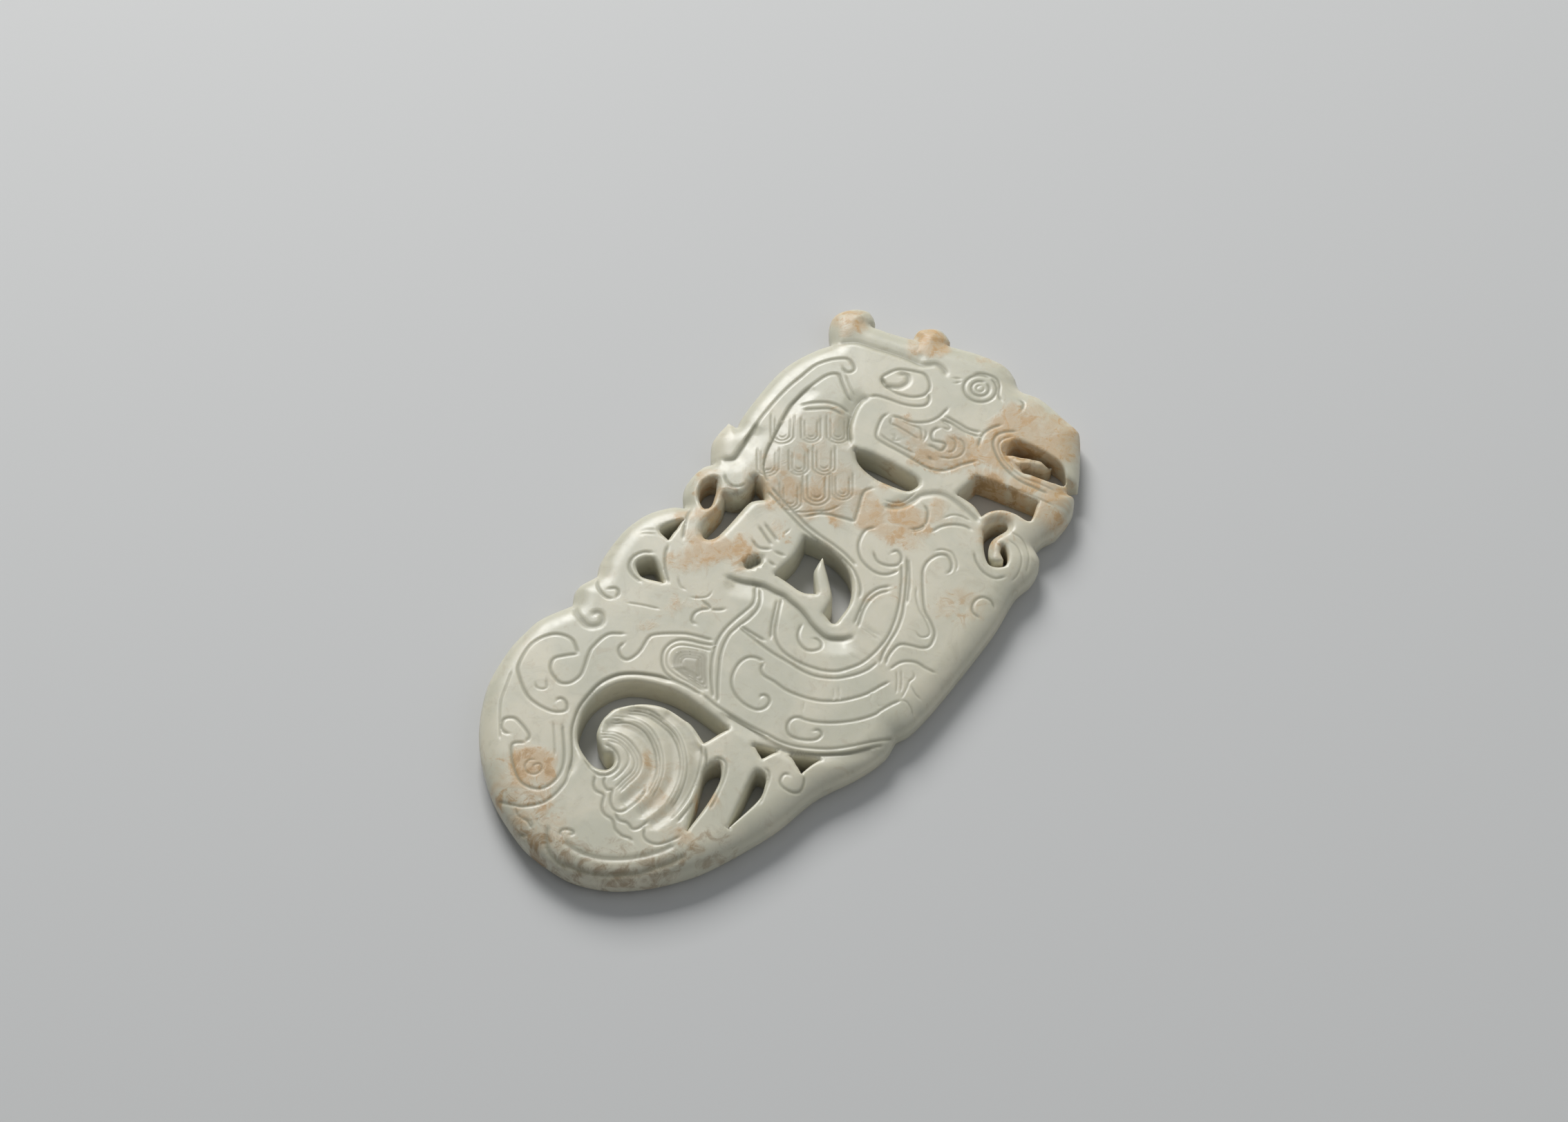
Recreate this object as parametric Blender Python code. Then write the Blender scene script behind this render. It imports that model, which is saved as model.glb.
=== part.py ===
# Openwork jade plaque: a coiled dragon, sawn through, carved in low relief and lying flat on its back face.
# One carved piece. It is drawn in plan on a grid, +X towards the dragon's head and +Y towards its crest, and the
# stone is built between a carved upper face and a plainer under face that share the same rims.
import math

import bmesh
import bpy
import numpy as np
from mathutils import Vector
from mathutils.geometry import delaunay_2d_cdt

# Driving sizes, in metres
LENGTH = 0.1533
THICKNESS = 0.0076
RIM_DROP = 0.0034         # how far the outer rim falls below the upper face
RIM_RISE = 0.0022         # how far the outer rim lifts off the table
RIM_WIDTH = 0.0052        # how far in from the edge that rounding starts
HOLE_EDGE = 0.0011        # rounding along the sawn holes
STRAND_EDGE = 0.0021      # rounding along the slim tendrils
GROOVE_WIDTH = 0.0019
GROOVE_DEPTH = 0.0007
BACK_GROOVE_DEPTH = 0.0004
PIT_DEPTH = 0.0024        # the blind drill hole on the paw

# The drawing's grid: this many units make the plaque's length
DRAWN_LENGTH = 153.3
UNIT = LENGTH / DRAWN_LENGTH

# Steps between points, in grid units
RIM_STEP = 2.0
HOLE_STEP = 1.7
GROOVE_STEP = 2.3
FILL_STEP = 5.0
CLOSEST = 0.55            # no two points of a face come nearer than this

# The outer edge in smooth stretches. Each one ends at a corner, where the next begins.
OUTLINE = [
    # rump and tail side, up to the notch between rump and back
    [(-77.0, 1.8), (-76.3, 8.3), (-72.0, 19.4), (-64.5, 29.3), (-54.4, 36.2), (-45.1, 38.8), (-39.3, 39.1),
     (-34.4, 38.6), (-27.9, 35.7)],
    # first small lobe of the back
    [(-24.0, 37.6), (-19.3, 36.3)],
    # long lobe of the back, down to the tendril
    [(-15.7, 38.0), (-8.6, 39.2), (-3.8, 38.8), (0.0, 37.6), (3.7, 35.1), (5.3, 32.9)],
    # tip of the tendril's loop
    [(7.3, 35.1), (10.9, 36.6), (15.2, 36.5), (17.2, 35.4)],
    # first mane lock, with its barb
    [(18.2, 36.5), (22.2, 39.1), (27.7, 39.4)],
    [(27.9, 37.3)],
    # second mane lock
    [(31.7, 38.3), (41.9, 39.2), (48.1, 38.7), (53.7, 36.8), (57.0, 35.0)],
    # crest curl behind the brow
    [(60.1, 38.0), (63.9, 39.2), (67.6, 37.0), (69.1, 33.8), (67.7, 31.3), (66.5, 30.9)],
    [(67.1, 28.9), (67.7, 26.7), (69.3, 22.2)],
    # small curl above the brow
    [(71.8, 22.8), (74.4, 20.4), (75.0, 18.5), (74.1, 15.9), (72.9, 15.1)],
    # brow, nose, upper lip and fang
    [(75.3, 8.4), (76.3, 2.8), (75.2, -0.7), (73.3, -3.8), (74.3, -8.7), (73.4, -15.4), (72.9, -19.0),
     (71.6, -21.0), (65.2, -25.8), (61.5, -28.2)],
    [(59.8, -26.6)],
    [(58.6, -27.6)],
    # chin and beard
    [(58.6, -29.2), (55.4, -31.0), (49.5, -31.6), (46.4, -30.5), (43.5, -30.2)],
    # chest and belly
    [(41.5, -33.1), (37.1, -34.4), (31.9, -34.0), (21.7, -35.8), (3.9, -37.0), (-6.1, -37.0), (-10.2, -35.8)],
    # haunch and the flames of the tail
    [(-15.0, -36.5), (-21.9, -34.9), (-31.1, -31.4), (-42.3, -29.7), (-55.7, -25.4), (-62.4, -21.9),
     (-68.3, -17.4), (-73.1, -12.0), (-76.3, -5.0), (-77.0, 1.8)],
]

# The sawn holes, each in smooth stretches; a hole of one stretch has no corner
TAIL_GAP = [
    [(-31.2, -8.8), (-36.8, -7.1)],
    [(-35.1, -2.0), (-35.3, 4.0), (-37.6, 8.5), (-41.6, 11.9), (-44.0, 12.5), (-46.5, 12.3), (-49.3, 10.8),
     (-51.2, 7.2), (-50.6, 5.8), (-51.2, 4.5), (-52.6, 3.9), (-54.2, 4.6), (-54.9, 7.5), (-52.5, 13.0),
     (-47.0, 16.4), (-41.0, 16.8), (-35.5, 14.0), (-32.2, 8.0), (-31.0, 1.5), (-31.2, -8.8)],
]
FLAME_SLOT_LONG = [
    [(-54.4, -17.3), (-48.0, -14.3), (-42.5, -11.6), (-40.5, -11.2), (-38.8, -11.9), (-38.6, -13.0),
     (-41.4, -15.1), (-47.2, -16.6), (-54.4, -17.3)],
]
FLAME_SLOT_SHORT = [
    [(-48.7, -23.3), (-42.0, -21.3), (-36.0, -19.6), (-34.9, -20.3), (-35.0, -21.8), (-36.8, -23.0),
     (-40.2, -24.0), (-48.7, -23.3)],
]
UPPER_WEDGE = [[(-30.8, -15.4)], [(-29.5, -18.0), (-28.9, -19.8)], [(-32.2, -18.5)], [(-30.8, -15.4)]]
LOWER_WEDGE = [[(-27.9, -22.6)], [(-26.3, -25.0), (-24.9, -27.6)], [(-29.8, -26.8)], [(-27.9, -22.6)]]
BACK_COMMA = [
    [(-12.5, 23.8), (-14.2, 27.5), (-13.9, 29.4), (-12.4, 31.0), (-10.2, 29.9), (-10.0, 28.0), (-12.5, 23.8)],
]
BACK_DROP = [[(-3.8, 29.7), (-3.3, 32.4), (-1.2, 32.2), (1.8, 30.4)], [(-3.8, 29.7)]]
TENDRIL_LOOP = [
    [(7.2, 28.9), (7.9, 30.9), (9.4, 32.3), (11.4, 33.0), (13.1, 32.6), (13.8, 31.4), (12.2, 30.0),
     (10.5, 29.1), (8.6, 28.4)],
]
PAW_GAP = [
    [(12.0, 27.5), (12.6, 26.2), (13.9, 24.9), (16.2, 24.5), (19.3, 25.2)],
    [(18.6, 22.8), (16.8, 20.6)],
    [(15.2, 22.1), (13.4, 22.7), (6.2, 22.5), (2.9, 22.7), (1.5, 24.2), (3.2, 26.0), (9.0, 26.3),
     (12.0, 27.5)],
]
BODY_HOLE = [
    [(3.6, 6.8), (9.5, 6.6), (14.3, 7.8)],
    [(15.0, 4.5), (14.9, -0.5), (12.8, -5.6), (8.0, -9.2), (2.6, -10.2)],
    [(1.7, -9.6), (2.4, -7.0)],
    # the hook that curls into the hole
    [(6.2, -6.0), (9.6, -2.4), (12.9, 1.9)],
    [(10.6, 1.7), (8.5, 0.8), (5.2, -2.6)],
    [(3.8, -0.3), (3.6, 3.5), (3.6, 6.8)],
]
NECK_GAP = [
    [(38.0, 13.2), (35.9, 10.5), (35.2, 5.5), (36.3, 0.0), (37.2, -1.8), (38.6, -2.4), (40.0, -2.2),
     (40.4, 0.5), (39.4, 9.0), (38.0, 13.2)],
]
JAW_GAP = [
    [(43.0, -10.4), (48.6, -11.0)],
    [(50.0, -16.0), (51.9, -24.6)],
    [(48.0, -26.1), (47.0, -25.7), (46.8, -22.7), (45.8, -19.9), (43.8, -18.1), (41.8, -17.5)],
    [(42.9, -14.5), (43.0, -10.4)],
]
BEARD_CURL = [
    [(39.3, -20.0), (41.5, -20.0), (43.2, -21.0), (43.8, -22.6), (42.6, -23.6), (39.0, -22.7), (36.0, -23.8),
     (34.4, -26.2), (35.9, -27.8), (37.2, -26.0), (38.7, -25.2)],
    [(38.9, -25.9), (37.4, -27.8), (35.1, -28.8), (33.4, -26.3), (35.2, -23.3), (39.3, -20.0)],
]
MOUTH = [
    [(57.6, -12.1), (59.3, -11.6), (61.2, -12.2), (62.2, -16.5), (62.6, -22.4), (60.6, -25.6), (58.5, -25.6),
     (57.0, -21.0), (56.4, -17.2), (57.4, -16.6), (58.6, -18.2), (60.0, -20.3), (61.7, -21.0)],
    # upper edge of the tongue
    [(60.2, -16.8), (58.9, -14.7), (57.6, -12.1)],
]
BODY_HOLES = [TAIL_GAP, FLAME_SLOT_LONG, FLAME_SLOT_SHORT, UPPER_WEDGE, LOWER_WEDGE, BACK_COMMA, BACK_DROP,
              BODY_HOLE, NECK_GAP, JAW_GAP, BEARD_CURL, MOUTH]
STRAND_HOLES = [TENDRIL_LOOP, PAW_GAP]

# The blind drill hole: where it is and how wide, in grid units
PIT_CENTRE = (2.4, 13.2)
PIT_RADIUS = 1.6

# The carved lines, each a smooth run of points
GROOVES = {
    "rump scroll": [(-48.5, 22.3), (-47.2, 21.0), (-49.1, 19.4), (-51.0, 21.8), (-50.4, 29.8), (-46.1, 34.2),
                    (-41.0, 35.2), (-36.6, 33.1), (-35.2, 29.5), (-37.0, 26.0)],
    "rump wave": [(-37.0, 26.0), (-41.2, 29.2), (-44.6, 25.0), (-42.4, 22.5), (-36.1, 24.2), (-29.7, 24.3),
                  (-27.3, 21.6)],
    "rump foot": [(-28.9, 20.4), (-31.8, 18.6), (-30.2, 16.7), (-24.9, 17.3), (-21.6, 14.7), (-17.2, 6.6)],
    "tail scroll": [(-60.0, 24.5), (-58.4, 27.8), (-56.7, 25.5), (-59.6, 20.8), (-65.1, 19.4), (-67.0, 13.2),
                    (-62.2, 10.5), (-55.7, 13.9), (-51.7, 17.8)],
    "tail back": [(-71.8, 13.0), (-68.1, 9.2), (-63.2, 8.4), (-56.3, 11.3), (-49.3, 16.7), (-40.0, 18.2),
                  (-33.3, 14.2), (-29.5, 6.1), (-28.7, 0.0)],
    "tail band": [(-71.3, 4.9), (-75.3, 0.9), (-74.0, -7.6), (-67.3, -16.0), (-62.2, -19.0)],
    "tail band inner": [(-69.4, 1.5), (-72.8, -1.0), (-70.5, -8.4), (-61.6, -16.2)],
    "tail curl inner": [(-49.1, 10.3), (-46.4, 5.7), (-47.4, 1.2), (-52.5, -2.0)],
    "tail curl outer": [(-44.5, 11.6), (-40.5, 5.7), (-40.7, -2.0), (-44.5, -7.4), (-49.5, -9.8)],
    "tail tuft": [(-56.6, 4.9), (-59.0, 0.7), (-62.2, -4.2), (-63.7, -8.2), (-63.5, -10.9)],
    "tail tuft lower": [(-55.2, 3.3), (-57.1, 0.1), (-60.2, -3.4), (-57.9, -5.1), (-52.5, -5.0)],
    "flame curl": [(-31.8, -25.8), (-33.4, -24.5), (-34.8, -26.5), (-33.0, -29.1), (-30.0, -27.6)],
    "haunch edge": [(-29.7, 0.0), (-29.3, -10.2), (-26.1, -20.9), (-19.8, -29.6), (-14.0, -34.0)],
    "haunch curl": [(-14.7, -4.8), (-16.4, -0.9), (-22.3, -2.6), (-24.5, -9.2), (-22.6, -11.9), (-21.0, -9.2)],
    "haunch spine": [(-14.9, -5.1), (-17.2, -6.4), (-15.7, -15.8), (-10.1, -24.2), (-3.0, -27.0)],
    "belly sweep": [(-11.6, 4.3), (-11.6, -5.1), (-10.1, -15.3), (-3.4, -22.2), (5.0, -21.7), (18.2, -15.8),
                    (24.1, -11.2)],
    "belly scroll": [(-8.8, -30.4), (-15.4, -26.3), (-20.3, -18.4), (-24.9, -19.4), (-22.6, -24.5),
                     (-20.6, -22.6)],
    "back lobe hook": [(-28.4, 34.5), (-30.6, 29.3), (-28.9, 27.2), (-26.9, 29.4)],
    "back lobe rib": [(-20.3, 35.2), (-22.6, 32.1), (-21.8, 29.0)],
    "waist hook": [(-16.2, 10.4), (-15.2, 13.7), (-11.9, 11.2)],
    "thigh panel": [(-27.7, 4.3), (-28.7, 8.9), (-24.1, 13.0), (-20.0, 5.8)],
    "thigh line": [(-4.0, 5.8), (-13.4, 5.7), (-22.3, 2.8), (-28.7, -4.1)],
    "chest curl": [(0.4, -24.5), (5.0, -23.5), (9.3, -28.6), (14.4, -25.5), (19.8, -19.4), (25.9, -15.9),
                   (29.2, -18.1), (25.6, -20.7)],
    "chest foot": [(0.1, -25.8), (3.9, -27.3), (5.7, -33.0)],
    "shoulder curl": [(19.8, -1.0), (16.4, -8.2), (19.8, -12.5), (23.3, -9.7), (20.8, -7.6)],
    "body edge": [(-4.0, 17.0), (-0.1, 6.3), (0.3, -2.0), (-1.4, -10.2), (0.6, -14.3)],
    "hole edge": [(5.2, -11.4), (10.8, -9.4), (14.4, -5.2), (16.6, -0.6)],
    "paw crease": [(8.3, 11.7), (9.3, 14.5), (10.3, 17.0)],
    "toe crease": [(5.2, 12.6), (5.8, 15.4), (6.8, 18.0)],
    "neck edge": [(18.5, 19.6), (17.0, 9.4), (16.6, 2.0)],
    "scale border": [(17.5, 13.5), (21.6, 8.6), (24.4, 2.2)],
    "mane upper": [(34.0, 33.9), (25.9, 32.6), (20.5, 31.8), (19.1, 34.2)],
    "mane lower": [(34.0, 29.8), (25.9, 27.8), (20.5, 24.7)],
    "mane curl": [(34.0, 33.9), (44.2, 34.3), (52.8, 31.1), (54.7, 26.8), (52.5, 28.1)],
    "mane inner": [(34.0, 29.8), (44.2, 30.8), (50.4, 27.1), (47.0, 21.3)],
    "brow": [(68.7, 5.7), (71.5, 1.7), (67.5, -3.4)],
    "ear": [(54.7, 18.6), (55.3, 13.4), (60.2, 10.6), (61.7, 15.5), (57.7, 19.8)],
    "ear root": [(50.4, 19.2), (53.4, 12.4), (56.2, 8.6)],
    "cheek edge": [(40.4, 16.4), (44.9, 19.2), (50.4, 19.2)],
    "cheek panel": [(48.8, 14.0), (42.7, 11.5), (43.9, 1.7), (47.3, -5.5), (51.6, -8.3)],
    "cheek panel side": [(49.1, 13.1), (51.6, 6.9), (58.6, 4.8)],
    "lip": [(54.3, -20.6), (54.0, -13.2), (58.3, -8.3), (63.2, -11.0)],
    "nostril": [(70.0, -5.8), (67.8, -8.1)],
    "horn root": [(57.6, 33.2), (61.1, 26.5), (63.8, 16.1), (65.1, 9.7)],
    "chest line": [(32.0, -2.4), (38.1, -5.2), (41.2, -12.9)],
}
# Rings round the eye: its centre, and each ring's radius
EYE_CENTRE = (66.9, 2.2)
EYE_RINGS = (4.0, 1.7)
EYE_POINTS = 12
# The neck's scales: rows of U-shaped lines that open towards the crest
SCALE_ROWS = [[(22.0, 13.0), (25.5, 8.6)], [(25.9, 19.8), (29.5, 15.8), (32.6, 11.8)]]
SCALE_RADIUS = 2.7
SCALE_OPENS = math.radians(39)

# Lines that are carried over to the plainer under face
BACK_GROOVES = ["tail back", "haunch edge", "belly sweep", "neck edge", "mane curl", "cheek panel"]

STONE_COLOUR = (0.52, 0.53, 0.44, 1.0)
STONE_ROUGHNESS = 0.28


def smooth(points, step, closed=False):
    """Points at even steps along the smooth curve through the given ones (Catmull-Rom)."""
    pts = [Vector(p) for p in points]
    count = len(pts)
    spans = count if closed else count - 1
    fine = []
    for i in range(spans):
        before = pts[i - 1] if closed or i > 0 else 2 * pts[0] - pts[1]
        after = pts[(i + 2) % count] if closed or i + 2 < count else 2 * pts[-1] - pts[-2]
        start, end = pts[i], pts[(i + 1) % count]
        for k in range(12):
            t = k / 12
            fine.append(0.5 * (2 * start + (end - before) * t
                               + (2 * before - 5 * start + 4 * end - after) * t * t
                               + (3 * start - before - 3 * end + after) * t ** 3))
    fine.append(pts[0] if closed else pts[-1])
    fine = np.array([tuple(p) for p in fine])
    along = np.concatenate([[0], np.cumsum(np.linalg.norm(np.diff(fine, axis=0), axis=1))])
    wanted = np.linspace(0, along[-1], max(2, round(along[-1] / step) + 1))
    return np.stack([np.interp(wanted, along, fine[:, k]) for k in (0, 1)], axis=1)


def contour(stretches, step):
    """A closed ring of points from stretches that meet at corners; a lone open stretch closes smoothly."""
    if len(stretches) == 1 and stretches[0][0] != stretches[0][-1]:
        return smooth(stretches[0], step, closed=True)[:-1]
    corner = stretches[-1][-1]
    ring = []
    for stretch in stretches:
        run = stretch if stretch[0] == corner else [corner] + stretch
        if len(run) > 1:
            ring.extend(smooth(run, step)[:-1])
        corner = run[-1]
    return np.array(ring)


def turned(ring, left):
    """The ring with its inside on the left (an outer edge), or on the right (a hole)."""
    x, y = ring[:, 0], ring[:, 1]
    area = np.sum(x * np.roll(y, -1) - y * np.roll(x, -1))
    return ring if (area > 0) == left else ring[::-1]


def distance(points, rings, closed=True):
    """The shortest distance from each point to any of the runs."""
    best = np.full(len(points), 1e9)
    for ring in rings:
        starts = ring if closed else ring[:-1]
        ends = np.roll(ring, -1, axis=0) if closed else ring[1:]
        for a, b in zip(starts, ends):
            way = b - a
            share = np.clip(((points - a) @ way) / max(way @ way, 1e-12), 0, 1)
            best = np.minimum(best, np.linalg.norm(points - a - share[:, None] * way, axis=1))
    return best


def inside(points, ring):
    """True where a point is inside the ring."""
    result = np.zeros(len(points), dtype=bool)
    x, y = points[:, 0], points[:, 1]
    for (ax, ay), (bx, by) in zip(ring, np.roll(ring, -1, axis=0)):
        if ay != by:
            result ^= ((ay > y) != (by > y)) & (x < ax + (y - ay) * (bx - ax) / (by - ay))
    return result


def circle(centre, radius, count):
    """A closed run of points round a centre."""
    turns = [2 * math.pi * k / count for k in range(count + 1)]
    return [(centre[0] + radius * math.cos(a), centre[1] + radius * math.sin(a)) for a in turns]


def scale_line(bottom):
    """One scale: a U whose bottom is at the given point."""
    ux, uy = math.cos(SCALE_OPENS), math.sin(SCALE_OPENS)
    centre = (bottom[0] + SCALE_RADIUS * ux, bottom[1] + SCALE_RADIUS * uy)
    arc = [math.radians(a) + SCALE_OPENS + math.pi for a in (-90, -45, 0, 45, 90)]
    return [(centre[0] + SCALE_RADIUS * math.cos(a), centre[1] + SCALE_RADIUS * math.sin(a)) for a in arc]


def quarter(share):
    """A quarter circle's fall: 1 at the edge, 0 from share 1 inwards."""
    t = 1 - np.clip(share, 0, 1)
    return 1 - np.sqrt(1 - t * t)


class Plan:
    """The plaque in plan: its rings and carved lines, in grid units."""

    def __init__(self):
        self.outer = turned(contour(OUTLINE, RIM_STEP), True)
        self.body_holes = [turned(contour(h, HOLE_STEP), False) for h in BODY_HOLES]
        self.strand_holes = [turned(contour(h, HOLE_STEP), False) for h in STRAND_HOLES]
        self.rings = [self.outer] + self.body_holes + self.strand_holes
        grooves = dict(GROOVES)
        for k, radius in enumerate(EYE_RINGS):
            grooves[f"eye ring {k}"] = circle(EYE_CENTRE, radius, EYE_POINTS)
        for r, row in enumerate(SCALE_ROWS):
            for k, bottom in enumerate(row):
                grooves[f"scale {r} {k}"] = scale_line(bottom)
        self.grooves = {name: smooth(points, GROOVE_STEP) for name, points in grooves.items()}

    def within(self, points):
        """True on stone: inside the outer edge and in none of the holes."""
        result = inside(points, self.outer)
        for ring in self.rings[1:]:
            result &= ~inside(points, ring)
        return result

    def edge_fall(self, points, rim_fall, hole_fall, strand_fall):
        """How far the rounded edges fall below a face, in metres."""
        rim = rim_fall * quarter(distance(points, [self.outer]) * UNIT / RIM_WIDTH)
        hole = hole_fall * quarter(distance(points, self.body_holes) * UNIT / HOLE_EDGE)
        strand = strand_fall * quarter(distance(points, self.strand_holes) * UNIT / STRAND_EDGE)
        return np.maximum(rim, np.maximum(hole, strand))

    def groove_fall(self, points, names, depth):
        """How deep the carved lines are, in metres."""
        fall = np.zeros(len(points))
        for name in names:
            gap = distance(points, [self.grooves[name]], closed=False) * UNIT
            fall = np.maximum(fall, depth * np.clip(1 - gap / (GROOVE_WIDTH / 2), 0, 1))
        return fall

    def top(self, points):
        """Height of the carved face."""
        fall = self.edge_fall(points, RIM_DROP, HOLE_EDGE, STRAND_EDGE)
        carved = self.groove_fall(points, self.grooves, GROOVE_DEPTH)
        pit = PIT_DEPTH * (np.linalg.norm(points - PIT_CENTRE, axis=1) < PIT_RADIUS * 0.8)
        return THICKNESS - fall - np.maximum(carved, pit)

    def under(self, points):
        """Height of the under face, which lies on the table."""
        fall = self.edge_fall(points, RIM_RISE, HOLE_EDGE, HOLE_EDGE)
        return fall + self.groove_fall(points, BACK_GROOVES, BACK_GROOVE_DEPTH)


def beside(run, offset):
    """Points at an offset to the left of a run."""
    way = np.gradient(run, axis=0)
    way /= np.linalg.norm(way, axis=1)[:, None]
    return run + offset * np.stack([-way[:, 1], way[:, 0]], axis=1)


class Face:
    """One face of the plaque in plan: its rims first, then the points of its carving, joined as triangles."""

    def __init__(self, plan, names, pits):
        self.plan = plan
        self.points = [tuple(p) for ring in plan.rings for p in ring]
        self.edges = []
        start = 0
        for ring in plan.rings:
            self.edges += [(start + k, start + (k + 1) % len(ring)) for k in range(len(ring))]
            start += len(ring)
        for name in names:
            self.add_run(plan.grooves[name])
        half = GROOVE_WIDTH / 2 / UNIT
        for name in names:
            for side in (half, -half):
                self.add(beside(plan.grooves[name], side), CLOSEST)
        if pits:
            for share in (1.0, 0.75):
                self.add(np.array(circle(PIT_CENTRE, PIT_RADIUS * share, 8)[:-1]), 0.2)
        self.add_inset(plan.outer, RIM_WIDTH / UNIT, (0.12, 0.42, 1.0))
        for ring in plan.body_holes:
            self.add_inset(ring, HOLE_EDGE / UNIT, (1.0,))
        for ring in plan.strand_holes:
            self.add_inset(ring, STRAND_EDGE / UNIT, (0.3, 0.9))
        low, high = plan.outer.min(axis=0), plan.outer.max(axis=0)
        fill = [(x, y) for x in np.arange(low[0], high[0], FILL_STEP)
                for y in np.arange(low[1], high[1], FILL_STEP)]
        self.add(np.array(fill), FILL_STEP * 0.5)

    def add(self, points, gap, edge_gap=CLOSEST):
        """Adds the points that are on stone and not too near to others; gives their numbers, or None."""
        clear = self.plan.within(points) & (distance(points, self.plan.rings) > edge_gap)
        numbers = []
        for point, free in zip(points, clear):
            if free:
                free = np.min(np.linalg.norm(np.array(self.points) - point, axis=1)) > gap
            numbers.append(len(self.points) if free else None)
            if free:
                self.points.append(tuple(point))
        return numbers

    def add_run(self, run):
        """Adds a carved line's own points, joined by edges that the triangles keep."""
        numbers = self.add(run, CLOSEST, edge_gap=CLOSEST * 1.4)
        halves = (run[:-1] + run[1:]) / 2
        clear = distance(halves, self.plan.rings) > CLOSEST
        for a, b, free in zip(numbers[:-1], numbers[1:], clear):
            if a is not None and b is not None and free:
                self.edges.append((a, b))

    def add_inset(self, ring, width, shares):
        """Adds rings of points inside an edge, where its rounding needs them."""
        closed = np.vstack([ring[-1:], ring, ring[:1]])
        for share in shares:
            offset = width * share
            inner = beside(closed, offset)[1:-1]
            kept = distance(inner, self.plan.rings) > offset * 0.95
            self.add(inner[kept], min(0.9, offset * 0.9), edge_gap=offset * 0.9)

    def triangles(self):
        """Corner positions in plan, triangles, and the new number of each rim point."""
        points = [Vector(p) for p in self.points]
        made = delaunay_2d_cdt(points, self.edges, [], 0, 1e-6, True)
        places = np.array([tuple(p) for p in made[0]])
        number = {old: new for new, olds in enumerate(made[3]) for old in olds}
        corners = np.array([tuple(f) for f in made[2]])
        keep = self.plan.within(places[corners].mean(axis=1))
        return places, corners[keep], number


def add_object(name, vertices, faces, material):
    """A mesh object from vertices and faces, shaded smooth except at its sharp edges."""
    mesh = bpy.data.meshes.new(name)
    mesh.from_pydata(vertices, [], faces)
    bm = bmesh.new()
    bm.from_mesh(mesh)
    loose = [v for v in bm.verts if not v.link_faces]
    bmesh.ops.delete(bm, geom=loose, context="VERTS")
    bm.to_mesh(mesh)
    bm.free()
    mesh.shade_smooth()
    mesh.set_sharp_from_angle(angle=math.radians(40))
    mesh.materials.append(material)
    obj = bpy.data.objects.new(name, mesh)
    bpy.context.scene.collection.objects.link(obj)
    return obj


def stone_material():
    """Pale celadon jade with a soft polish."""
    material = bpy.data.materials.new("jade")
    material.use_nodes = True
    shader = material.node_tree.nodes["Principled BSDF"]
    shader.inputs["Base Color"].default_value = STONE_COLOUR
    shader.inputs["Roughness"].default_value = STONE_ROUGHNESS
    shader.inputs["Metallic"].default_value = 0.0
    return material


def plaque():
    """The whole carving: upper face, under face, and the walls that join their rims."""
    plan = Plan()
    top_places, top_faces, top_number = Face(plan, plan.grooves, True).triangles()
    under_places, under_faces, under_number = Face(plan, BACK_GROOVES, False).triangles()
    middle = (plan.outer.min(axis=0) + plan.outer.max(axis=0)) / 2
    top = np.column_stack([(top_places - middle) * UNIT, plan.top(top_places)])
    under = np.column_stack([(under_places - middle) * UNIT, plan.under(under_places)])
    first = len(top)
    faces = [tuple(f) for f in top_faces] + [tuple(first + k for k in f[::-1]) for f in under_faces]
    start = 0
    for ring in plan.rings:
        for k in range(len(ring)):
            a, b = start + k, start + (k + 1) % len(ring)
            low_a, low_b = first + under_number[a], first + under_number[b]
            faces.append((low_a, low_b, top_number[b]))
            faces.append((low_a, top_number[b], top_number[a]))
        start += len(ring)
    vertices = [tuple(v) for v in np.vstack([top, under])]
    return add_object("dragon_plaque", vertices, faces, stone_material())


def main():
    for old in list(bpy.data.objects):
        bpy.data.objects.remove(old, do_unlink=True)
    plaque()


main()
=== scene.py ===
# %% [markdown]
# # A carved jade dragon plaque
# The real thing is one flat pebble of pale jade. The carver sawed holes through it, rounded the rim, and then cut
# lines and bands into the upper face with small wheels and grit. This lesson makes it in the same order: first the
# plan, then the rounded stone, then the carved lines, and last the cloudy stone with its russet stains.

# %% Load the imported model
import math

import bpy
import numpy as np
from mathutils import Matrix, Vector, kdtree, noise
from mathutils.geometry import delaunay_2d_cdt


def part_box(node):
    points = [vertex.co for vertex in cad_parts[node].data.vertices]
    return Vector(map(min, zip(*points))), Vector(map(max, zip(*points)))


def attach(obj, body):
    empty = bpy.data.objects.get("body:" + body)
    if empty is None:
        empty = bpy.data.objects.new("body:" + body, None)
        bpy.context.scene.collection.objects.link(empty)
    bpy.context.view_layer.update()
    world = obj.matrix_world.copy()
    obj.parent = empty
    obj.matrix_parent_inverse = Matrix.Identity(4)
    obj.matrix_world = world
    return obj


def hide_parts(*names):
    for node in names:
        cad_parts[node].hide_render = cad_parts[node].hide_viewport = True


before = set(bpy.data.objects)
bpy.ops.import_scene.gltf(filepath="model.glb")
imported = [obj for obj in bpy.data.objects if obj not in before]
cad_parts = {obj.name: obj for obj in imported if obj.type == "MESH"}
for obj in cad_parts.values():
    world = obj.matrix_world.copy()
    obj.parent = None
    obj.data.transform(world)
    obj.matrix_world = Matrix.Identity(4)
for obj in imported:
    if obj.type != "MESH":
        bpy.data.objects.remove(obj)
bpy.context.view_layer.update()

NODE = "dragon_plaque"
STONE_LOW, STONE_HIGH = (np.array(corner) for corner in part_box(NODE))
MM = 0.001
print("The stone's box in millimetres:", (STONE_HIGH - STONE_LOW) / MM)

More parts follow.
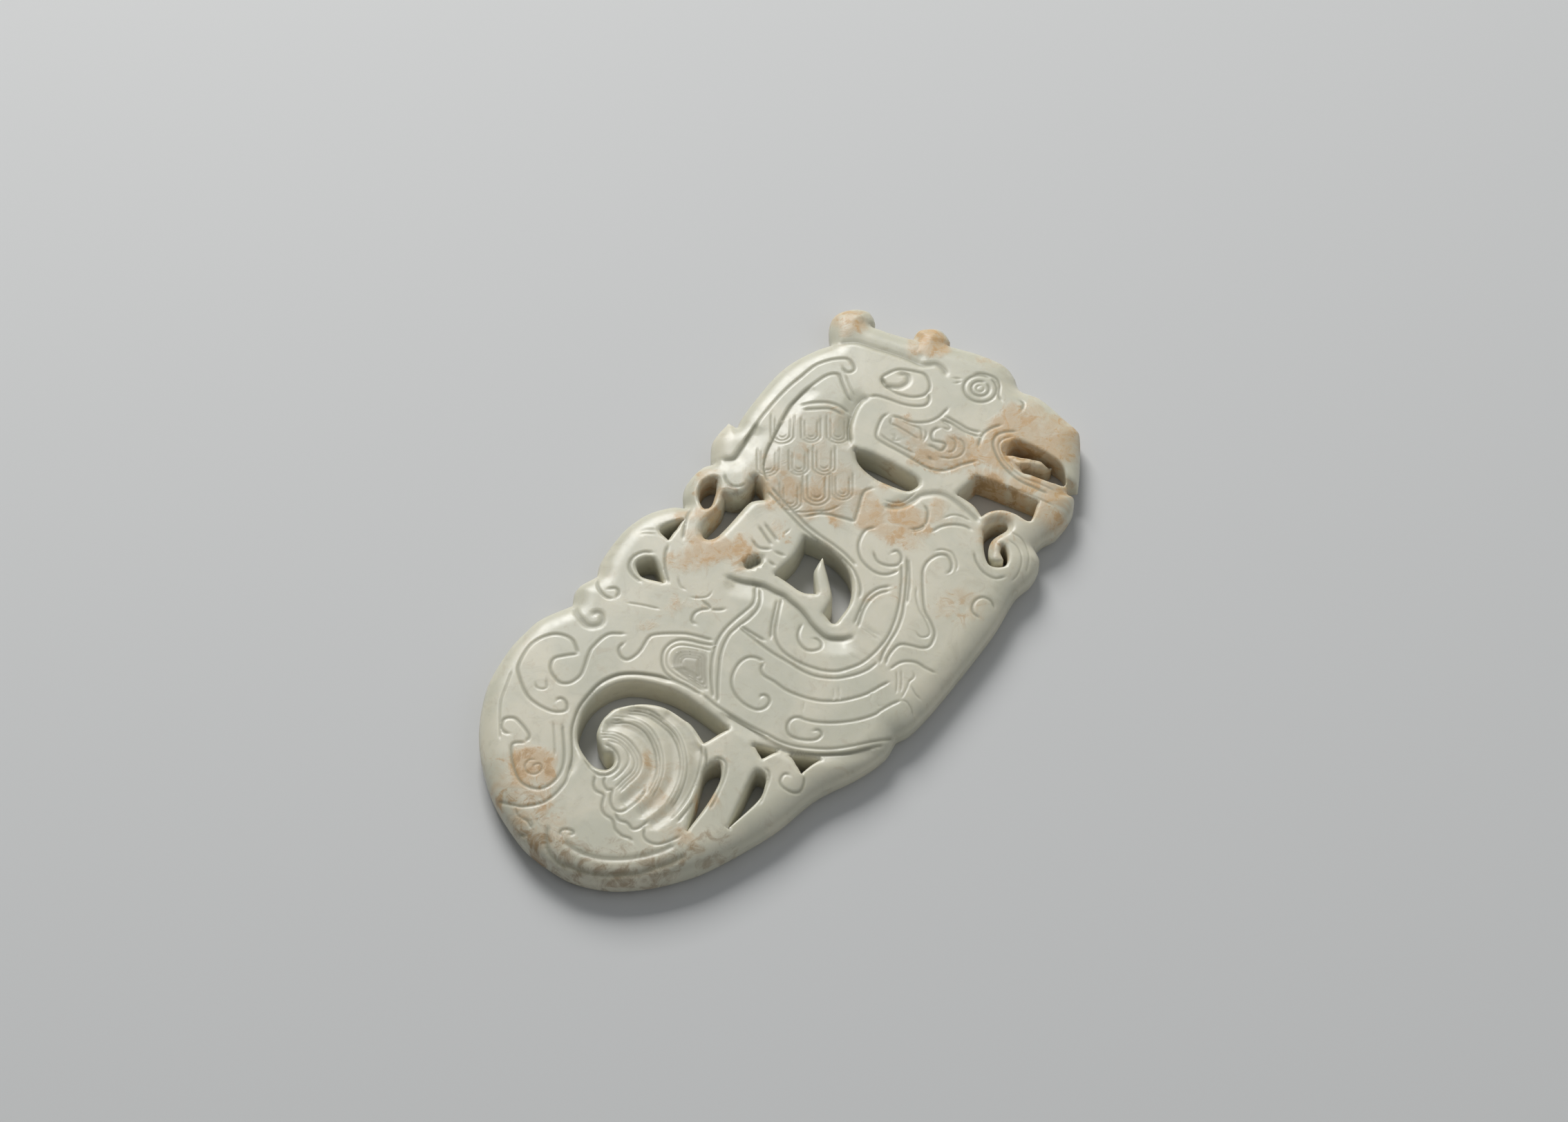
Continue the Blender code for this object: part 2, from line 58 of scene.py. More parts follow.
# %% [markdown]
# ## The plan
# The plaque is drawn in plan, on a grid with +X towards the head and +Y towards the crest. A rim is a list of smooth
# stretches that meet at corners, because a carver's saw line does the same: it swings in long curves and stops short
# at a notch. A few points for each curve are enough, since a spline passes through them.

# %% The outer edge
DRAWN_LENGTH = 153.3
OUTLINE = [
    # rump and tail side, up to the notch between rump and back
    [(-77.0, 1.8), (-76.3, 8.3), (-72.0, 19.4), (-64.5, 29.3), (-54.4, 36.2), (-45.1, 38.8), (-39.3, 39.1),
     (-34.4, 38.6), (-27.9, 35.7)],
    # first small lobe of the back
    [(-24.0, 37.6), (-19.3, 36.3)],
    # long lobe of the back, down to the tendril
    [(-15.7, 38.0), (-8.6, 39.2), (-3.8, 38.8), (0.0, 37.6), (3.7, 35.1), (5.3, 32.9)],
    # tip of the tendril's loop
    [(7.3, 35.1), (10.9, 36.6), (15.2, 36.5), (17.2, 35.4)],
    # first mane lock, with its barb
    [(18.2, 36.5), (22.2, 39.1), (27.7, 39.4)],
    [(27.9, 37.3)],
    # second mane lock
    [(31.7, 38.3), (41.9, 39.2), (48.1, 38.7), (53.7, 36.8), (57.0, 35.0)],
    # crest curl behind the brow
    [(60.1, 38.0), (63.9, 39.2), (67.6, 37.0), (69.1, 33.8), (67.7, 31.3), (66.5, 30.9)],
    [(67.1, 28.9), (67.7, 26.7), (69.3, 22.2)],
    # small curl above the brow
    [(71.8, 22.8), (74.4, 20.4), (75.0, 18.5), (74.1, 15.9), (72.9, 15.1)],
    # brow, nose, upper lip and fang
    [(75.3, 8.4), (76.3, 2.8), (75.2, -0.7), (73.3, -3.8), (74.3, -8.7), (73.4, -15.4), (72.9, -19.0),
     (71.6, -21.0), (65.2, -25.8), (61.5, -28.2)],
    [(59.8, -26.6)],
    [(58.6, -27.6)],
    # chin and beard
    [(58.6, -29.2), (55.4, -31.0), (49.5, -31.6), (46.4, -30.5), (43.5, -30.2)],
    # chest and belly
    [(41.5, -33.1), (37.1, -34.4), (31.9, -34.0), (21.7, -35.8), (3.9, -37.0), (-6.1, -37.0), (-10.2, -35.8)],
    # haunch and the flames of the tail
    [(-15.0, -36.5), (-21.9, -34.9), (-31.1, -31.4), (-42.3, -29.7), (-55.7, -25.4), (-62.4, -21.9),
     (-68.3, -17.4), (-73.1, -12.0), (-76.3, -5.0), (-77.0, 1.8)],
]

# %% [markdown]
# The holes are sawn from drilled starting points, so some keep a round end. They come in two kinds here. Most have
# crisp edges with a small rounding. The two beside the tendril are opened until the strand between them is round.

# %% The sawn holes
TAIL_GAP = [
    [(-31.2, -8.8), (-36.8, -7.1)],
    [(-35.1, -2.0), (-35.3, 4.0), (-37.6, 8.5), (-41.6, 11.9), (-44.0, 12.5), (-46.5, 12.3), (-49.3, 10.8),
     (-51.2, 7.2), (-50.6, 5.8), (-51.2, 4.5), (-52.6, 3.9), (-54.2, 4.6), (-54.9, 7.5), (-52.5, 13.0),
     (-47.0, 16.4), (-41.0, 16.8), (-35.5, 14.0), (-32.2, 8.0), (-31.0, 1.5), (-31.2, -8.8)],
]
FLAME_SLOT_LONG = [
    [(-54.4, -17.3), (-48.0, -14.3), (-42.5, -11.6), (-40.5, -11.2), (-38.8, -11.9), (-38.6, -13.0),
     (-41.4, -15.1), (-47.2, -16.6), (-54.4, -17.3)],
]
FLAME_SLOT_SHORT = [
    [(-48.7, -23.3), (-42.0, -21.3), (-36.0, -19.6), (-34.9, -20.3), (-35.0, -21.8), (-36.8, -23.0),
     (-40.2, -24.0), (-48.7, -23.3)],
]
UPPER_WEDGE = [[(-30.8, -15.4)], [(-29.5, -18.0), (-28.9, -19.8)], [(-32.2, -18.5)], [(-30.8, -15.4)]]
LOWER_WEDGE = [[(-27.9, -22.6)], [(-26.3, -25.0), (-24.9, -27.6)], [(-29.8, -26.8)], [(-27.9, -22.6)]]
BACK_COMMA = [
    [(-12.5, 23.8), (-14.2, 27.5), (-13.9, 29.4), (-12.4, 31.0), (-10.2, 29.9), (-10.0, 28.0), (-12.5, 23.8)],
]
BACK_DROP = [[(-3.8, 29.7), (-3.3, 32.4), (-1.2, 32.2), (1.8, 30.4)], [(-3.8, 29.7)]]
TENDRIL_LOOP = [
    [(7.2, 28.9), (7.9, 30.9), (9.4, 32.3), (11.4, 33.0), (13.1, 32.6), (13.8, 31.4), (12.2, 30.0),
     (10.5, 29.1), (8.6, 28.4)],
]
PAW_GAP = [
    [(12.0, 27.5), (12.6, 26.2), (13.9, 24.9), (16.2, 24.5), (19.3, 25.2)],
    [(18.6, 22.8), (16.8, 20.6)],
    [(15.2, 22.1), (13.4, 22.7), (6.2, 22.5), (2.9, 22.7), (1.5, 24.2), (3.2, 26.0), (9.0, 26.3),
     (12.0, 27.5)],
]
BODY_HOLE = [
    [(3.6, 6.8), (9.5, 6.6), (14.3, 7.8)],
    [(15.0, 4.5), (14.9, -0.5), (12.8, -5.6), (8.0, -9.2), (2.6, -10.2)],
    [(1.7, -9.6), (2.4, -7.0)],
    # the hook that curls into the hole
    [(6.2, -6.0), (9.6, -2.4), (12.9, 1.9)],
    [(10.6, 1.7), (8.5, 0.8), (5.2, -2.6)],
    [(3.8, -0.3), (3.6, 3.5), (3.6, 6.8)],
]
NECK_GAP = [
    [(38.0, 13.2), (35.9, 10.5), (35.2, 5.5), (36.3, 0.0), (37.2, -1.8), (38.6, -2.4), (40.0, -2.2),
     (40.4, 0.5), (39.4, 9.0), (38.0, 13.2)],
]
JAW_GAP = [
    [(43.0, -10.4), (48.6, -11.0)],
    [(50.0, -16.0), (51.9, -24.6)],
    [(48.0, -26.1), (47.0, -25.7), (46.8, -22.7), (45.8, -19.9), (43.8, -18.1), (41.8, -17.5)],
    [(42.9, -14.5), (43.0, -10.4)],
]
BEARD_CURL = [
    [(39.3, -20.0), (41.5, -20.0), (43.2, -21.0), (43.8, -22.6), (42.6, -23.6), (39.0, -22.7), (36.0, -23.8),
     (34.4, -26.2), (35.9, -27.8), (37.2, -26.0), (38.7, -25.2)],
    [(38.9, -25.9), (37.4, -27.8), (35.1, -28.8), (33.4, -26.3), (35.2, -23.3), (39.3, -20.0)],
]
MOUTH = [
    [(57.6, -12.1), (59.3, -11.6), (61.2, -12.2), (62.2, -16.5), (62.6, -22.4), (60.6, -25.6), (58.5, -25.6),
     (57.0, -21.0), (56.4, -17.2), (57.4, -16.6), (58.6, -18.2), (60.0, -20.3), (61.7, -21.0)],
    # upper edge of the tongue
    [(60.2, -16.8), (58.9, -14.7), (57.6, -12.1)],
]
BODY_HOLES = [TAIL_GAP, FLAME_SLOT_LONG, FLAME_SLOT_SHORT, UPPER_WEDGE, LOWER_WEDGE, BACK_COMMA, BACK_DROP,
              BODY_HOLE, NECK_GAP, JAW_GAP, BEARD_CURL, MOUTH]
STRAND_HOLES = [TENDRIL_LOOP, PAW_GAP]
print("Holes sawn through:", len(BODY_HOLES) + len(STRAND_HOLES))

# %% [markdown]
# Every curve is read the same way, by a Catmull-Rom spline that goes through its points. It is then cut into even
# steps, because even steps give even triangles, and uneven triangles show as ripples on a polished stone.

# %% Read a curve
SPAN_CUTS = 12


def smooth(points, step, closed=False):
    """Points at even steps along the smooth curve through the given ones."""
    pts = np.array(points, dtype=float)
    count = len(pts)
    fine = []
    for i in range(count if closed else count - 1):
        before = pts[i - 1] if closed or i > 0 else 2 * pts[0] - pts[1]
        after = pts[(i + 2) % count] if closed or i + 2 < count else 2 * pts[-1] - pts[-2]
        start, end = pts[i], pts[(i + 1) % count]
        for k in range(SPAN_CUTS):
            t = k / SPAN_CUTS
            fine.append(0.5 * (2 * start + (end - before) * t
                               + (2 * before - 5 * start + 4 * end - after) * t * t
                               + (3 * start - before - 3 * end + after) * t ** 3))
    fine.append(pts[0] if closed else pts[-1])
    fine = np.array(fine)
    along = np.concatenate([[0], np.cumsum(np.linalg.norm(np.diff(fine, axis=0), axis=1))])
    wanted = np.linspace(0, along[-1], max(2, round(along[-1] / step) + 1))
    return np.stack([np.interp(wanted, along, fine[:, k]) for k in (0, 1)], axis=1)


def contour(stretches, step, left):
    """A closed ring from stretches that meet at corners, with the stone on its left."""
    if len(stretches) == 1 and stretches[0][0] != stretches[0][-1]:
        ring = smooth(stretches[0], step, closed=True)[:-1]
    else:
        corner = stretches[-1][-1]
        ring = []
        for stretch in stretches:
            run = stretch if stretch[0] == corner else [corner] + stretch
            if len(run) > 1:
                ring.extend(smooth(run, step)[:-1])
            corner = run[-1]
        ring = np.array(ring)
    x, y = ring[:, 0], ring[:, 1]
    area = np.sum(x * np.roll(y, -1) - y * np.roll(x, -1))
    return ring if (area > 0) == left else ring[::-1]


# %% Cut the rims into even steps
RIM_STEP = 0.6
OUTER = contour(OUTLINE, RIM_STEP, left=True)
BODY_RINGS = [contour(hole, RIM_STEP, left=False) for hole in BODY_HOLES]
STRAND_RINGS = [contour(hole, RIM_STEP, left=False) for hole in STRAND_HOLES]
RINGS = [OUTER] + BODY_RINGS + STRAND_RINGS
MIDDLE = (OUTER.min(axis=0) + OUTER.max(axis=0)) / 2
UNIT = (STONE_HIGH[0] - STONE_LOW[0]) / DRAWN_LENGTH
PLACE = (STONE_LOW[:2] + STONE_HIGH[:2]) / 2
THICKNESS = (STONE_HIGH[2] - STONE_LOW[2]) / UNIT
print("Rim points:", sum(len(ring) for ring in RINGS))

# %% [markdown]
# ## The carved lines
# Wheels of different widths cut the lines, so each line here names its cut: how wide it is to one side and how deep.
# Double lines leave a raised thread between them, which is the carver's usual way to draw an edge on flat stone.

# %% The cuts
HAIR = (0.32, 0.09)
FINE = (0.40, 0.13)
LINE = (0.52, 0.20)
BROAD = (0.9, 0.30)
FURROW = (1.9, 0.42)
SCOOP = (1.6, 1.9)

# %% Lines of the rump and tail
RUMP = [
    (LINE, [(-48.5, 22.3), (-47.4, 22.1), (-47.2, 21.0), (-47.8, 19.9), (-49.1, 19.4), (-50.9, 21.8),
            (-51.2, 27.1), (-48.5, 32.2), (-46.1, 34.2), (-41.0, 35.2), (-36.6, 33.1), (-35.2, 29.5),
            (-37.0, 26.0)]),
    (LINE, [(-37.0, 26.0), (-39.2, 28.0), (-41.2, 29.2), (-43.5, 28.0), (-44.6, 25.0), (-44.0, 23.4),
            (-42.4, 22.5), (-40.1, 22.5), (-36.1, 24.2), (-33.8, 24.8), (-29.7, 24.3), (-27.3, 21.6)]),
    (LINE, [(-28.9, 20.4), (-30.5, 20.5), (-31.5, 19.8), (-32.1, 18.6), (-31.8, 17.3), (-30.2, 16.7),
            (-28.2, 16.7), (-24.9, 17.3), (-23.1, 16.3), (-20.0, 12.7), (-18.7, 10.4), (-17.2, 6.6)]),
    (FINE, [(-47.8, 28.5), (-48.4, 27.4), (-48.0, 26.3), (-47.2, 25.9), (-46.4, 26.6), (-45.6, 27.3)]),
    (LINE, [(-60.0, 24.5), (-60.4, 25.8), (-59.9, 27.1), (-58.4, 27.8), (-57.2, 27.1), (-56.7, 25.5),
            (-57.8, 21.5), (-59.6, 20.8)]),
    (LINE, [(-59.6, 20.8), (-61.1, 22.5), (-62.4, 22.2), (-65.1, 19.4), (-67.1, 15.4), (-65.9, 11.6),
            (-62.2, 10.5), (-57.9, 12.1), (-51.7, 17.8)]),
    (FINE, [(-58.4, 14.0), (-56.3, 15.9), (-54.1, 18.0), (-52.5, 19.6)]),
    (FINE, [(-61.4, 16.6), (-62.3, 17.6), (-63.8, 17.4), (-64.6, 16.0), (-64.0, 14.5), (-62.4, 14.2),
            (-61.6, 15.3), (-62.6, 16.1), (-63.3, 15.6)]),
    (FINE, [(-62.2, 25.4), (-60.0, 27.4), (-57.9, 29.3), (-55.2, 31.3), (-51.7, 32.8), (-48.5, 34.2)]),
]
TAIL_BACK = [
    (LINE, [(-72.8, 17.2), (-71.6, 12.7), (-70.2, 10.8), (-68.1, 9.2), (-65.9, 8.5), (-63.2, 8.4),
            (-60.8, 8.9), (-56.3, 11.3), (-52.0, 15.1), (-49.3, 16.7), (-46.4, 17.8), (-43.2, 18.2),
            (-40.0, 18.2), (-37.6, 17.6), (-35.3, 16.3), (-33.3, 14.2), (-31.8, 11.9), (-30.5, 9.4),
            (-29.5, 6.1), (-28.9, 3.0), (-28.7, 0.0)]),
    (LINE, [(-75.6, 10.0), (-75.7, 8.4), (-75.0, 6.8)]),
    (LINE, [(-73.2, 10.5), (-72.9, 8.9), (-73.7, 6.8)]),
    (BROAD, [(-71.3, 4.9), (-74.0, 2.8), (-75.3, 0.9), (-75.7, -2.0), (-75.0, -4.4), (-74.0, -7.6),
             (-72.1, -10.9), (-69.9, -13.5), (-67.3, -16.0), (-64.6, -17.7), (-61.9, -19.3), (-58.7, -20.7)]),
    (BROAD, [(-71.7, 0.2), (-72.0, -2.0), (-71.4, -5.2), (-69.8, -8.6), (-67.3, -11.8), (-64.6, -14.2),
             (-61.5, -16.3), (-58.5, -17.6)]),
    (LINE, [(-71.6, 1.3), (-70.6, 2.1), (-69.6, 1.5), (-69.1, 0.2), (-69.6, -0.2), (-70.3, 0.4)]),
    (FINE, [(-72.0, 13.0), (-73.1, 11.0), (-72.6, 8.5), (-73.4, 6.9)]),
]
TAIL_CURL = [
    (LINE, [(-49.9, 8.4), (-49.6, 6.2), (-50.1, 4.4), (-51.5, 3.0), (-53.1, 2.5), (-54.9, 3.0),
            (-56.0, 4.4), (-55.9, 6.5), (-55.2, 9.2)]),
    (FINE, [(-48.8, 8.1), (-48.0, 5.7), (-48.5, 3.3), (-50.1, 1.7), (-52.5, 1.2), (-55.2, 1.4)]),
    (FURROW, [(-47.1, 10.8), (-44.5, 8.4), (-43.6, 4.1), (-44.9, 0.1), (-47.3, -2.5), (-51.2, -4.0),
              (-55.1, -3.9), (-58.6, -3.5)]),
    (FURROW, [(-42.6, 10.5), (-39.9, 7.1), (-39.0, 3.3), (-40.2, -0.9), (-42.8, -4.1), (-46.3, -6.8),
              (-50.4, -8.2), (-54.8, -8.2), (-58.3, -7.8)]),
    (FURROW, [(-36.6, 3.5), (-36.6, -1.3), (-38.4, -5.6), (-41.6, -8.8), (-45.6, -11.0), (-50.4, -12.1),
              (-55.0, -11.8), (-58.8, -11.0)]),
    (LINE, [(-37.6, -8.1), (-39.7, -10.2), (-42.8, -12.0), (-46.6, -13.6), (-50.4, -14.4), (-54.5, -14.8)]),
    (FINE, [(-37.4, -7.0), (-40.3, -9.2), (-43.8, -11.1), (-47.3, -12.4), (-51.2, -13.2), (-55.0, -13.3)]),
    (LINE, [(-56.6, 4.9), (-58.4, 3.8), (-59.2, 2.5), (-59.0, 0.7), (-60.0, 0.0), (-61.4, -0.9),
            (-62.2, -2.3), (-62.2, -4.2), (-62.7, -5.2), (-63.5, -6.3), (-63.7, -8.2), (-63.2, -9.8),
            (-63.5, -10.9)]),
    (LINE, [(-55.2, 3.3), (-56.8, 2.5), (-57.6, 0.9), (-57.1, 0.1), (-58.4, -0.7), (-59.6, -1.8),
            (-60.2, -3.4), (-59.5, -4.7), (-57.9, -5.1), (-55.2, -5.4), (-52.5, -5.0)]),
    (LINE, [(-60.6, -3.7), (-61.4, -5.4), (-60.9, -7.2), (-61.2, -8.9), (-59.9, -9.8), (-57.6, -10.0)]),
    (LINE, [(-59.4, -10.4), (-61.1, -11.7), (-61.4, -13.4), (-60.5, -15.1), (-58.7, -16.3),
            (-56.2, -17.3)]),
]
TAIL_BUNDLES = [
    [(-48.8, 10.2), (-47.3, 8.3), (-46.8, 5.6), (-47.5, 2.5), (-48.8, 0.2), (-51.1, -0.9), (-54.1, -0.8),
     (-56.4, -0.8)],
    [(-44.6, 10.6), (-42.4, 7.9), (-41.8, 4.3), (-42.9, 0.9), (-45.0, -2.2), (-47.6, -4.5), (-50.4, -5.8),
     (-53.5, -6.6)],
    [(-40.9, 9.7), (-38.9, 6.3), (-38.5, 2.6), (-39.1, -1.4), (-41.3, -5.1), (-44.6, -8.2), (-48.7, -10.2),
     (-52.5, -11.1)],
]
FLAMES = [
    (LINE, [(-31.8, -25.8), (-32.0, -24.7), (-33.0, -24.4), (-34.3, -25.0), (-34.8, -26.5), (-34.3, -28.3),
            (-33.0, -29.1), (-31.2, -28.6), (-30.0, -27.6)]),
    (LINE, [(-38.9, -11.2), (-37.9, -11.7), (-37.6, -13.0), (-38.4, -14.3), (-40.7, -15.6), (-44.0, -16.8),
            (-48.0, -18.0)]),
    (LINE, [(-33.8, -20.2), (-33.9, -21.7), (-35.1, -22.7), (-37.6, -23.7), (-41.0, -25.0)]),
]

# %% Lines of the body
HAUNCH = [
    (LINE, [(-28.4, 0.1), (-28.7, -4.0), (-28.4, -8.6), (-28.0, -13.0), (-27.4, -16.4), (-27.0, -19.2),
            (-25.9, -22.2), (-24.3, -24.8), (-22.1, -27.8), (-19.2, -30.5), (-15.9, -32.9), (-12.6, -35.0),
            (-9.5, -36.4)]),
    (LINE, [(-28.6, -19.0), (-27.9, -21.5), (-26.3, -24.1), (-24.6, -26.6), (-22.2, -29.4), (-20.0, -31.5),
            (-16.8, -33.6), (-13.8, -35.5)]),
    (FINE, [(-29.2, -6.5), (-28.9, -10.0), (-28.4, -13.7), (-27.9, -16.5)]),
    (LINE, [(-14.6, -4.8), (-14.8, -3.0), (-15.9, -1.5), (-18.1, -1.0), (-20.8, -1.6), (-22.9, -3.0),
            (-24.3, -5.2), (-24.8, -7.6), (-24.6, -9.8), (-24.0, -11.1), (-22.7, -11.8), (-21.1, -11.5),
            (-20.5, -10.3), (-21.0, -9.4), (-21.9, -9.5)]),
    (LINE, [(-14.6, -4.8), (-16.2, -5.3), (-17.1, -6.8), (-16.9, -9.5), (-16.9, -12.6), (-16.1, -15.9),
            (-14.9, -18.8), (-13.5, -20.9), (-11.6, -22.9), (-9.3, -24.6), (-7.0, -25.9), (-4.2, -26.8),
            (-2.0, -27.6)]),
    (LINE, [(-2.4, -5.0), (-3.9, -5.4), (-5.5, -6.3), (-6.6, -7.8), (-6.9, -9.6), (-6.1, -11.0),
            (-4.7, -11.6), (-3.6, -11.0), (-3.3, -9.7), (-3.9, -8.8)]),
    (LINE, [(-21.1, -22.6), (-20.1, -23.4), (-20.4, -24.5), (-21.7, -24.6), (-22.9, -23.7), (-24.2, -21.7),
            (-24.7, -19.8), (-24.0, -18.4), (-22.6, -17.6), (-21.2, -17.7), (-20.3, -18.5), (-19.8, -20.1),
            (-18.7, -22.3), (-16.9, -24.7), (-14.7, -26.9), (-12.2, -28.8), (-9.8, -30.1), (-8.3, -30.4),
            (-5.9, -31.2), (-4.0, -32.1)]),
    (FINE, [(-4.0, -32.1), (-3.5, -33.2), (-4.0, -34.8), (-5.0, -36.1)]),
    (HAIR, [(-10.5, -19.7), (-12.5, -21.4)]),
    (HAIR, [(-9.6, -20.3), (-11.8, -22.3)]),
    (HAIR, [(-6.4, -26.2), (-8.1, -27.5)]),
    (HAIR, [(-16.9, -17.0), (-18.7, -18.4)]),
    (HAIR, [(-7.5, -28.8), (-7.9, -29.7), (-7.0, -29.9)]),
]
BELLY = [
    (LINE, [(-0.3, 2.2), (-2.9, 0.8), (-5.4, -0.6), (-7.6, -2.0), (-9.1, -3.6), (-10.0, -5.5),
            (-10.3, -7.7), (-10.1, -10.6), (-9.3, -13.6), (-8.3, -15.9), (-6.8, -17.9), (-4.7, -19.3),
            (-2.4, -20.4), (0.3, -20.9), (3.2, -21.0), (6.1, -20.7), (9.1, -19.8), (11.9, -18.6),
            (14.5, -17.2), (17.0, -15.6), (19.4, -13.9), (21.6, -12.0)]),
    (LINE, [(-11.4, 4.3), (-11.6, 1.0), (-11.8, -2.2), (-11.8, -5.3), (-11.5, -8.7), (-11.3, -12.0),
            (-10.7, -14.7), (-9.6, -16.9), (-8.1, -18.9), (-6.2, -20.5), (-4.3, -21.7), (-2.3, -22.5),
            (0.0, -22.8)]),
    (LINE, [(-1.1, 2.7), (-3.4, 1.4), (-5.7, 0.2), (-7.5, -0.9), (-9.6, -2.4)]),
    (LINE, [(-10.9, 4.3), (-10.8, 1.1), (-10.5, -1.9)]),
    (LINE, [(23.7, -11.8), (21.2, -13.9), (17.6, -16.4), (14.8, -18.2), (11.6, -20.0), (8.4, -21.2),
            (5.2, -21.8), (2.4, -22.4), (0.0, -23.4)]),
    (LINE, [(0.4, -24.5), (2.4, -23.7), (5.0, -23.5), (6.5, -24.1), (7.5, -25.8), (8.3, -27.6),
            (9.3, -28.6), (10.8, -28.6), (12.9, -27.6), (14.4, -25.5), (15.7, -23.0), (17.7, -20.9),
            (21.6, -17.6), (23.6, -16.3), (25.9, -15.9), (28.2, -16.6), (29.2, -18.1), (28.4, -19.9),
            (26.9, -20.9), (25.6, -20.7)]),
    (FINE, [(28.6, -15.4), (29.9, -16.6), (30.4, -18.6), (29.1, -20.9), (27.4, -21.9)]),
    (FINE, [(10.6, -24.5), (10.3, -26.0), (11.3, -27.0), (12.6, -26.5), (14.2, -24.0), (15.2, -21.8),
            (17.2, -19.4), (19.2, -17.9)]),
    (LINE, [(0.1, -25.8), (2.4, -26.3), (3.9, -27.3), (5.0, -29.1), (5.2, -31.4), (5.7, -33.7)]),
    (FINE, [(-3.5, -30.4), (-1.1, -28.8), (0.8, -27.1)]),
    (FINE, [(-2.6, -30.9), (-0.5, -29.5), (1.7, -27.7)]),
    (FINE, [(2.9, -29.8), (1.9, -30.8), (0.5, -30.7), (-0.9, -31.2), (-3.6, -31.9)]),
    (FINE, [(0.0, -31.6), (-0.9, -33.5), (-1.0, -35.2)]),
    (LINE, [(21.8, -32.7), (21.8, -30.9), (22.8, -29.7), (24.6, -29.3), (26.1, -30.1), (26.5, -31.9),
            (25.6, -33.4)]),
    (LINE, [(25.5, -2.3), (23.6, -1.1), (21.1, -1.5), (19.1, -2.6), (17.4, -4.7), (16.7, -7.2),
            (16.8, -9.6), (17.9, -11.4), (20.1, -12.6)]),
    (LINE, [(20.4, -5.5), (19.1, -7.8), (19.6, -10.1), (21.2, -11.6), (23.0, -11.0), (23.6, -9.3),
            (22.3, -8.6)]),
    (LINE, [(23.6, -12.3), (21.4, -14.3), (18.6, -16.5), (16.8, -17.6), (14.8, -18.9)]),
    (FINE, [(29.2, -8.4), (30.0, -9.4), (31.5, -10.1), (33.0, -9.4)]),
]
WAIST = [
    (LINE, [(-17.9, 5.5), (-19.2, 7.9), (-20.1, 10.0), (-21.3, 11.9), (-23.0, 12.9), (-25.0, 13.0),
            (-26.7, 12.3), (-28.3, 10.9), (-29.3, 9.0), (-29.4, 6.6), (-28.9, 3.8), (-28.8, 1.0)]),
    (FINE, [(-19.3, 5.1), (-20.1, 7.1), (-21.1, 9.2), (-22.3, 11.1), (-23.7, 11.9), (-25.1, 11.9),
            (-26.4, 11.3), (-27.6, 10.2), (-28.2, 8.8), (-28.3, 6.6), (-27.9, 3.5), (-27.7, 0.3)]),
    (LINE, [(-1.2, 8.2), (-2.2, 7.7), (-3.7, 6.5), (-5.5, 5.8), (-8.2, 6.0), (-10.7, 6.3), (-13.7, 6.4),
            (-16.9, 5.8), (-20.1, 4.3), (-22.8, 2.5), (-25.5, 0.2), (-27.7, -2.1)]),
    (LINE, [(-1.4, 7.1), (-3.6, 5.2), (-5.7, 4.3), (-8.3, 4.2), (-10.9, 4.6), (-13.8, 4.9), (-16.4, 4.3),
            (-19.1, 3.1), (-21.8, 1.3), (-24.7, -0.8), (-28.0, -3.5)]),
    (LINE, [(-11.2, 14.6), (-11.3, 13.5), (-11.6, 12.1), (-13.2, 13.3), (-14.7, 13.7), (-16.3, 13.0),
            (-16.5, 11.6)]),
    (LINE, [(-11.8, 11.8), (-10.8, 10.4), (-9.6, 9.3)]),
    (FINE, [(-12.1, 16.8), (-11.1, 15.3), (-9.8, 14.2), (-8.3, 14.2)]),
    (BROAD, [(-28.4, 34.5), (-29.5, 33.1), (-30.2, 31.3), (-30.6, 29.3), (-30.1, 28.0), (-28.9, 27.2),
             (-27.7, 27.5), (-26.7, 28.8), (-27.2, 29.8), (-28.2, 29.9)]),
    (LINE, [(-20.3, 35.2), (-21.8, 33.9), (-22.7, 32.1), (-22.9, 30.3), (-22.3, 29.0)]),
    (LINE, [(-21.4, 31.7), (-20.1, 30.4), (-20.5, 29.2), (-22.0, 28.7)]),
    (FINE, [(-21.3, 26.1), (-19.8, 23.3), (-18.3, 19.9)]),
    (FINE, [(-10.0, 22.0), (-11.3, 20.2), (-11.4, 18.7)]),
    (HAIR, [(-6.9, 35.0), (-5.8, 34.1), (-4.7, 32.3)]),
    (HAIR, [(-6.2, 35.6), (-5.1, 34.7), (-3.9, 33.0)]),
]

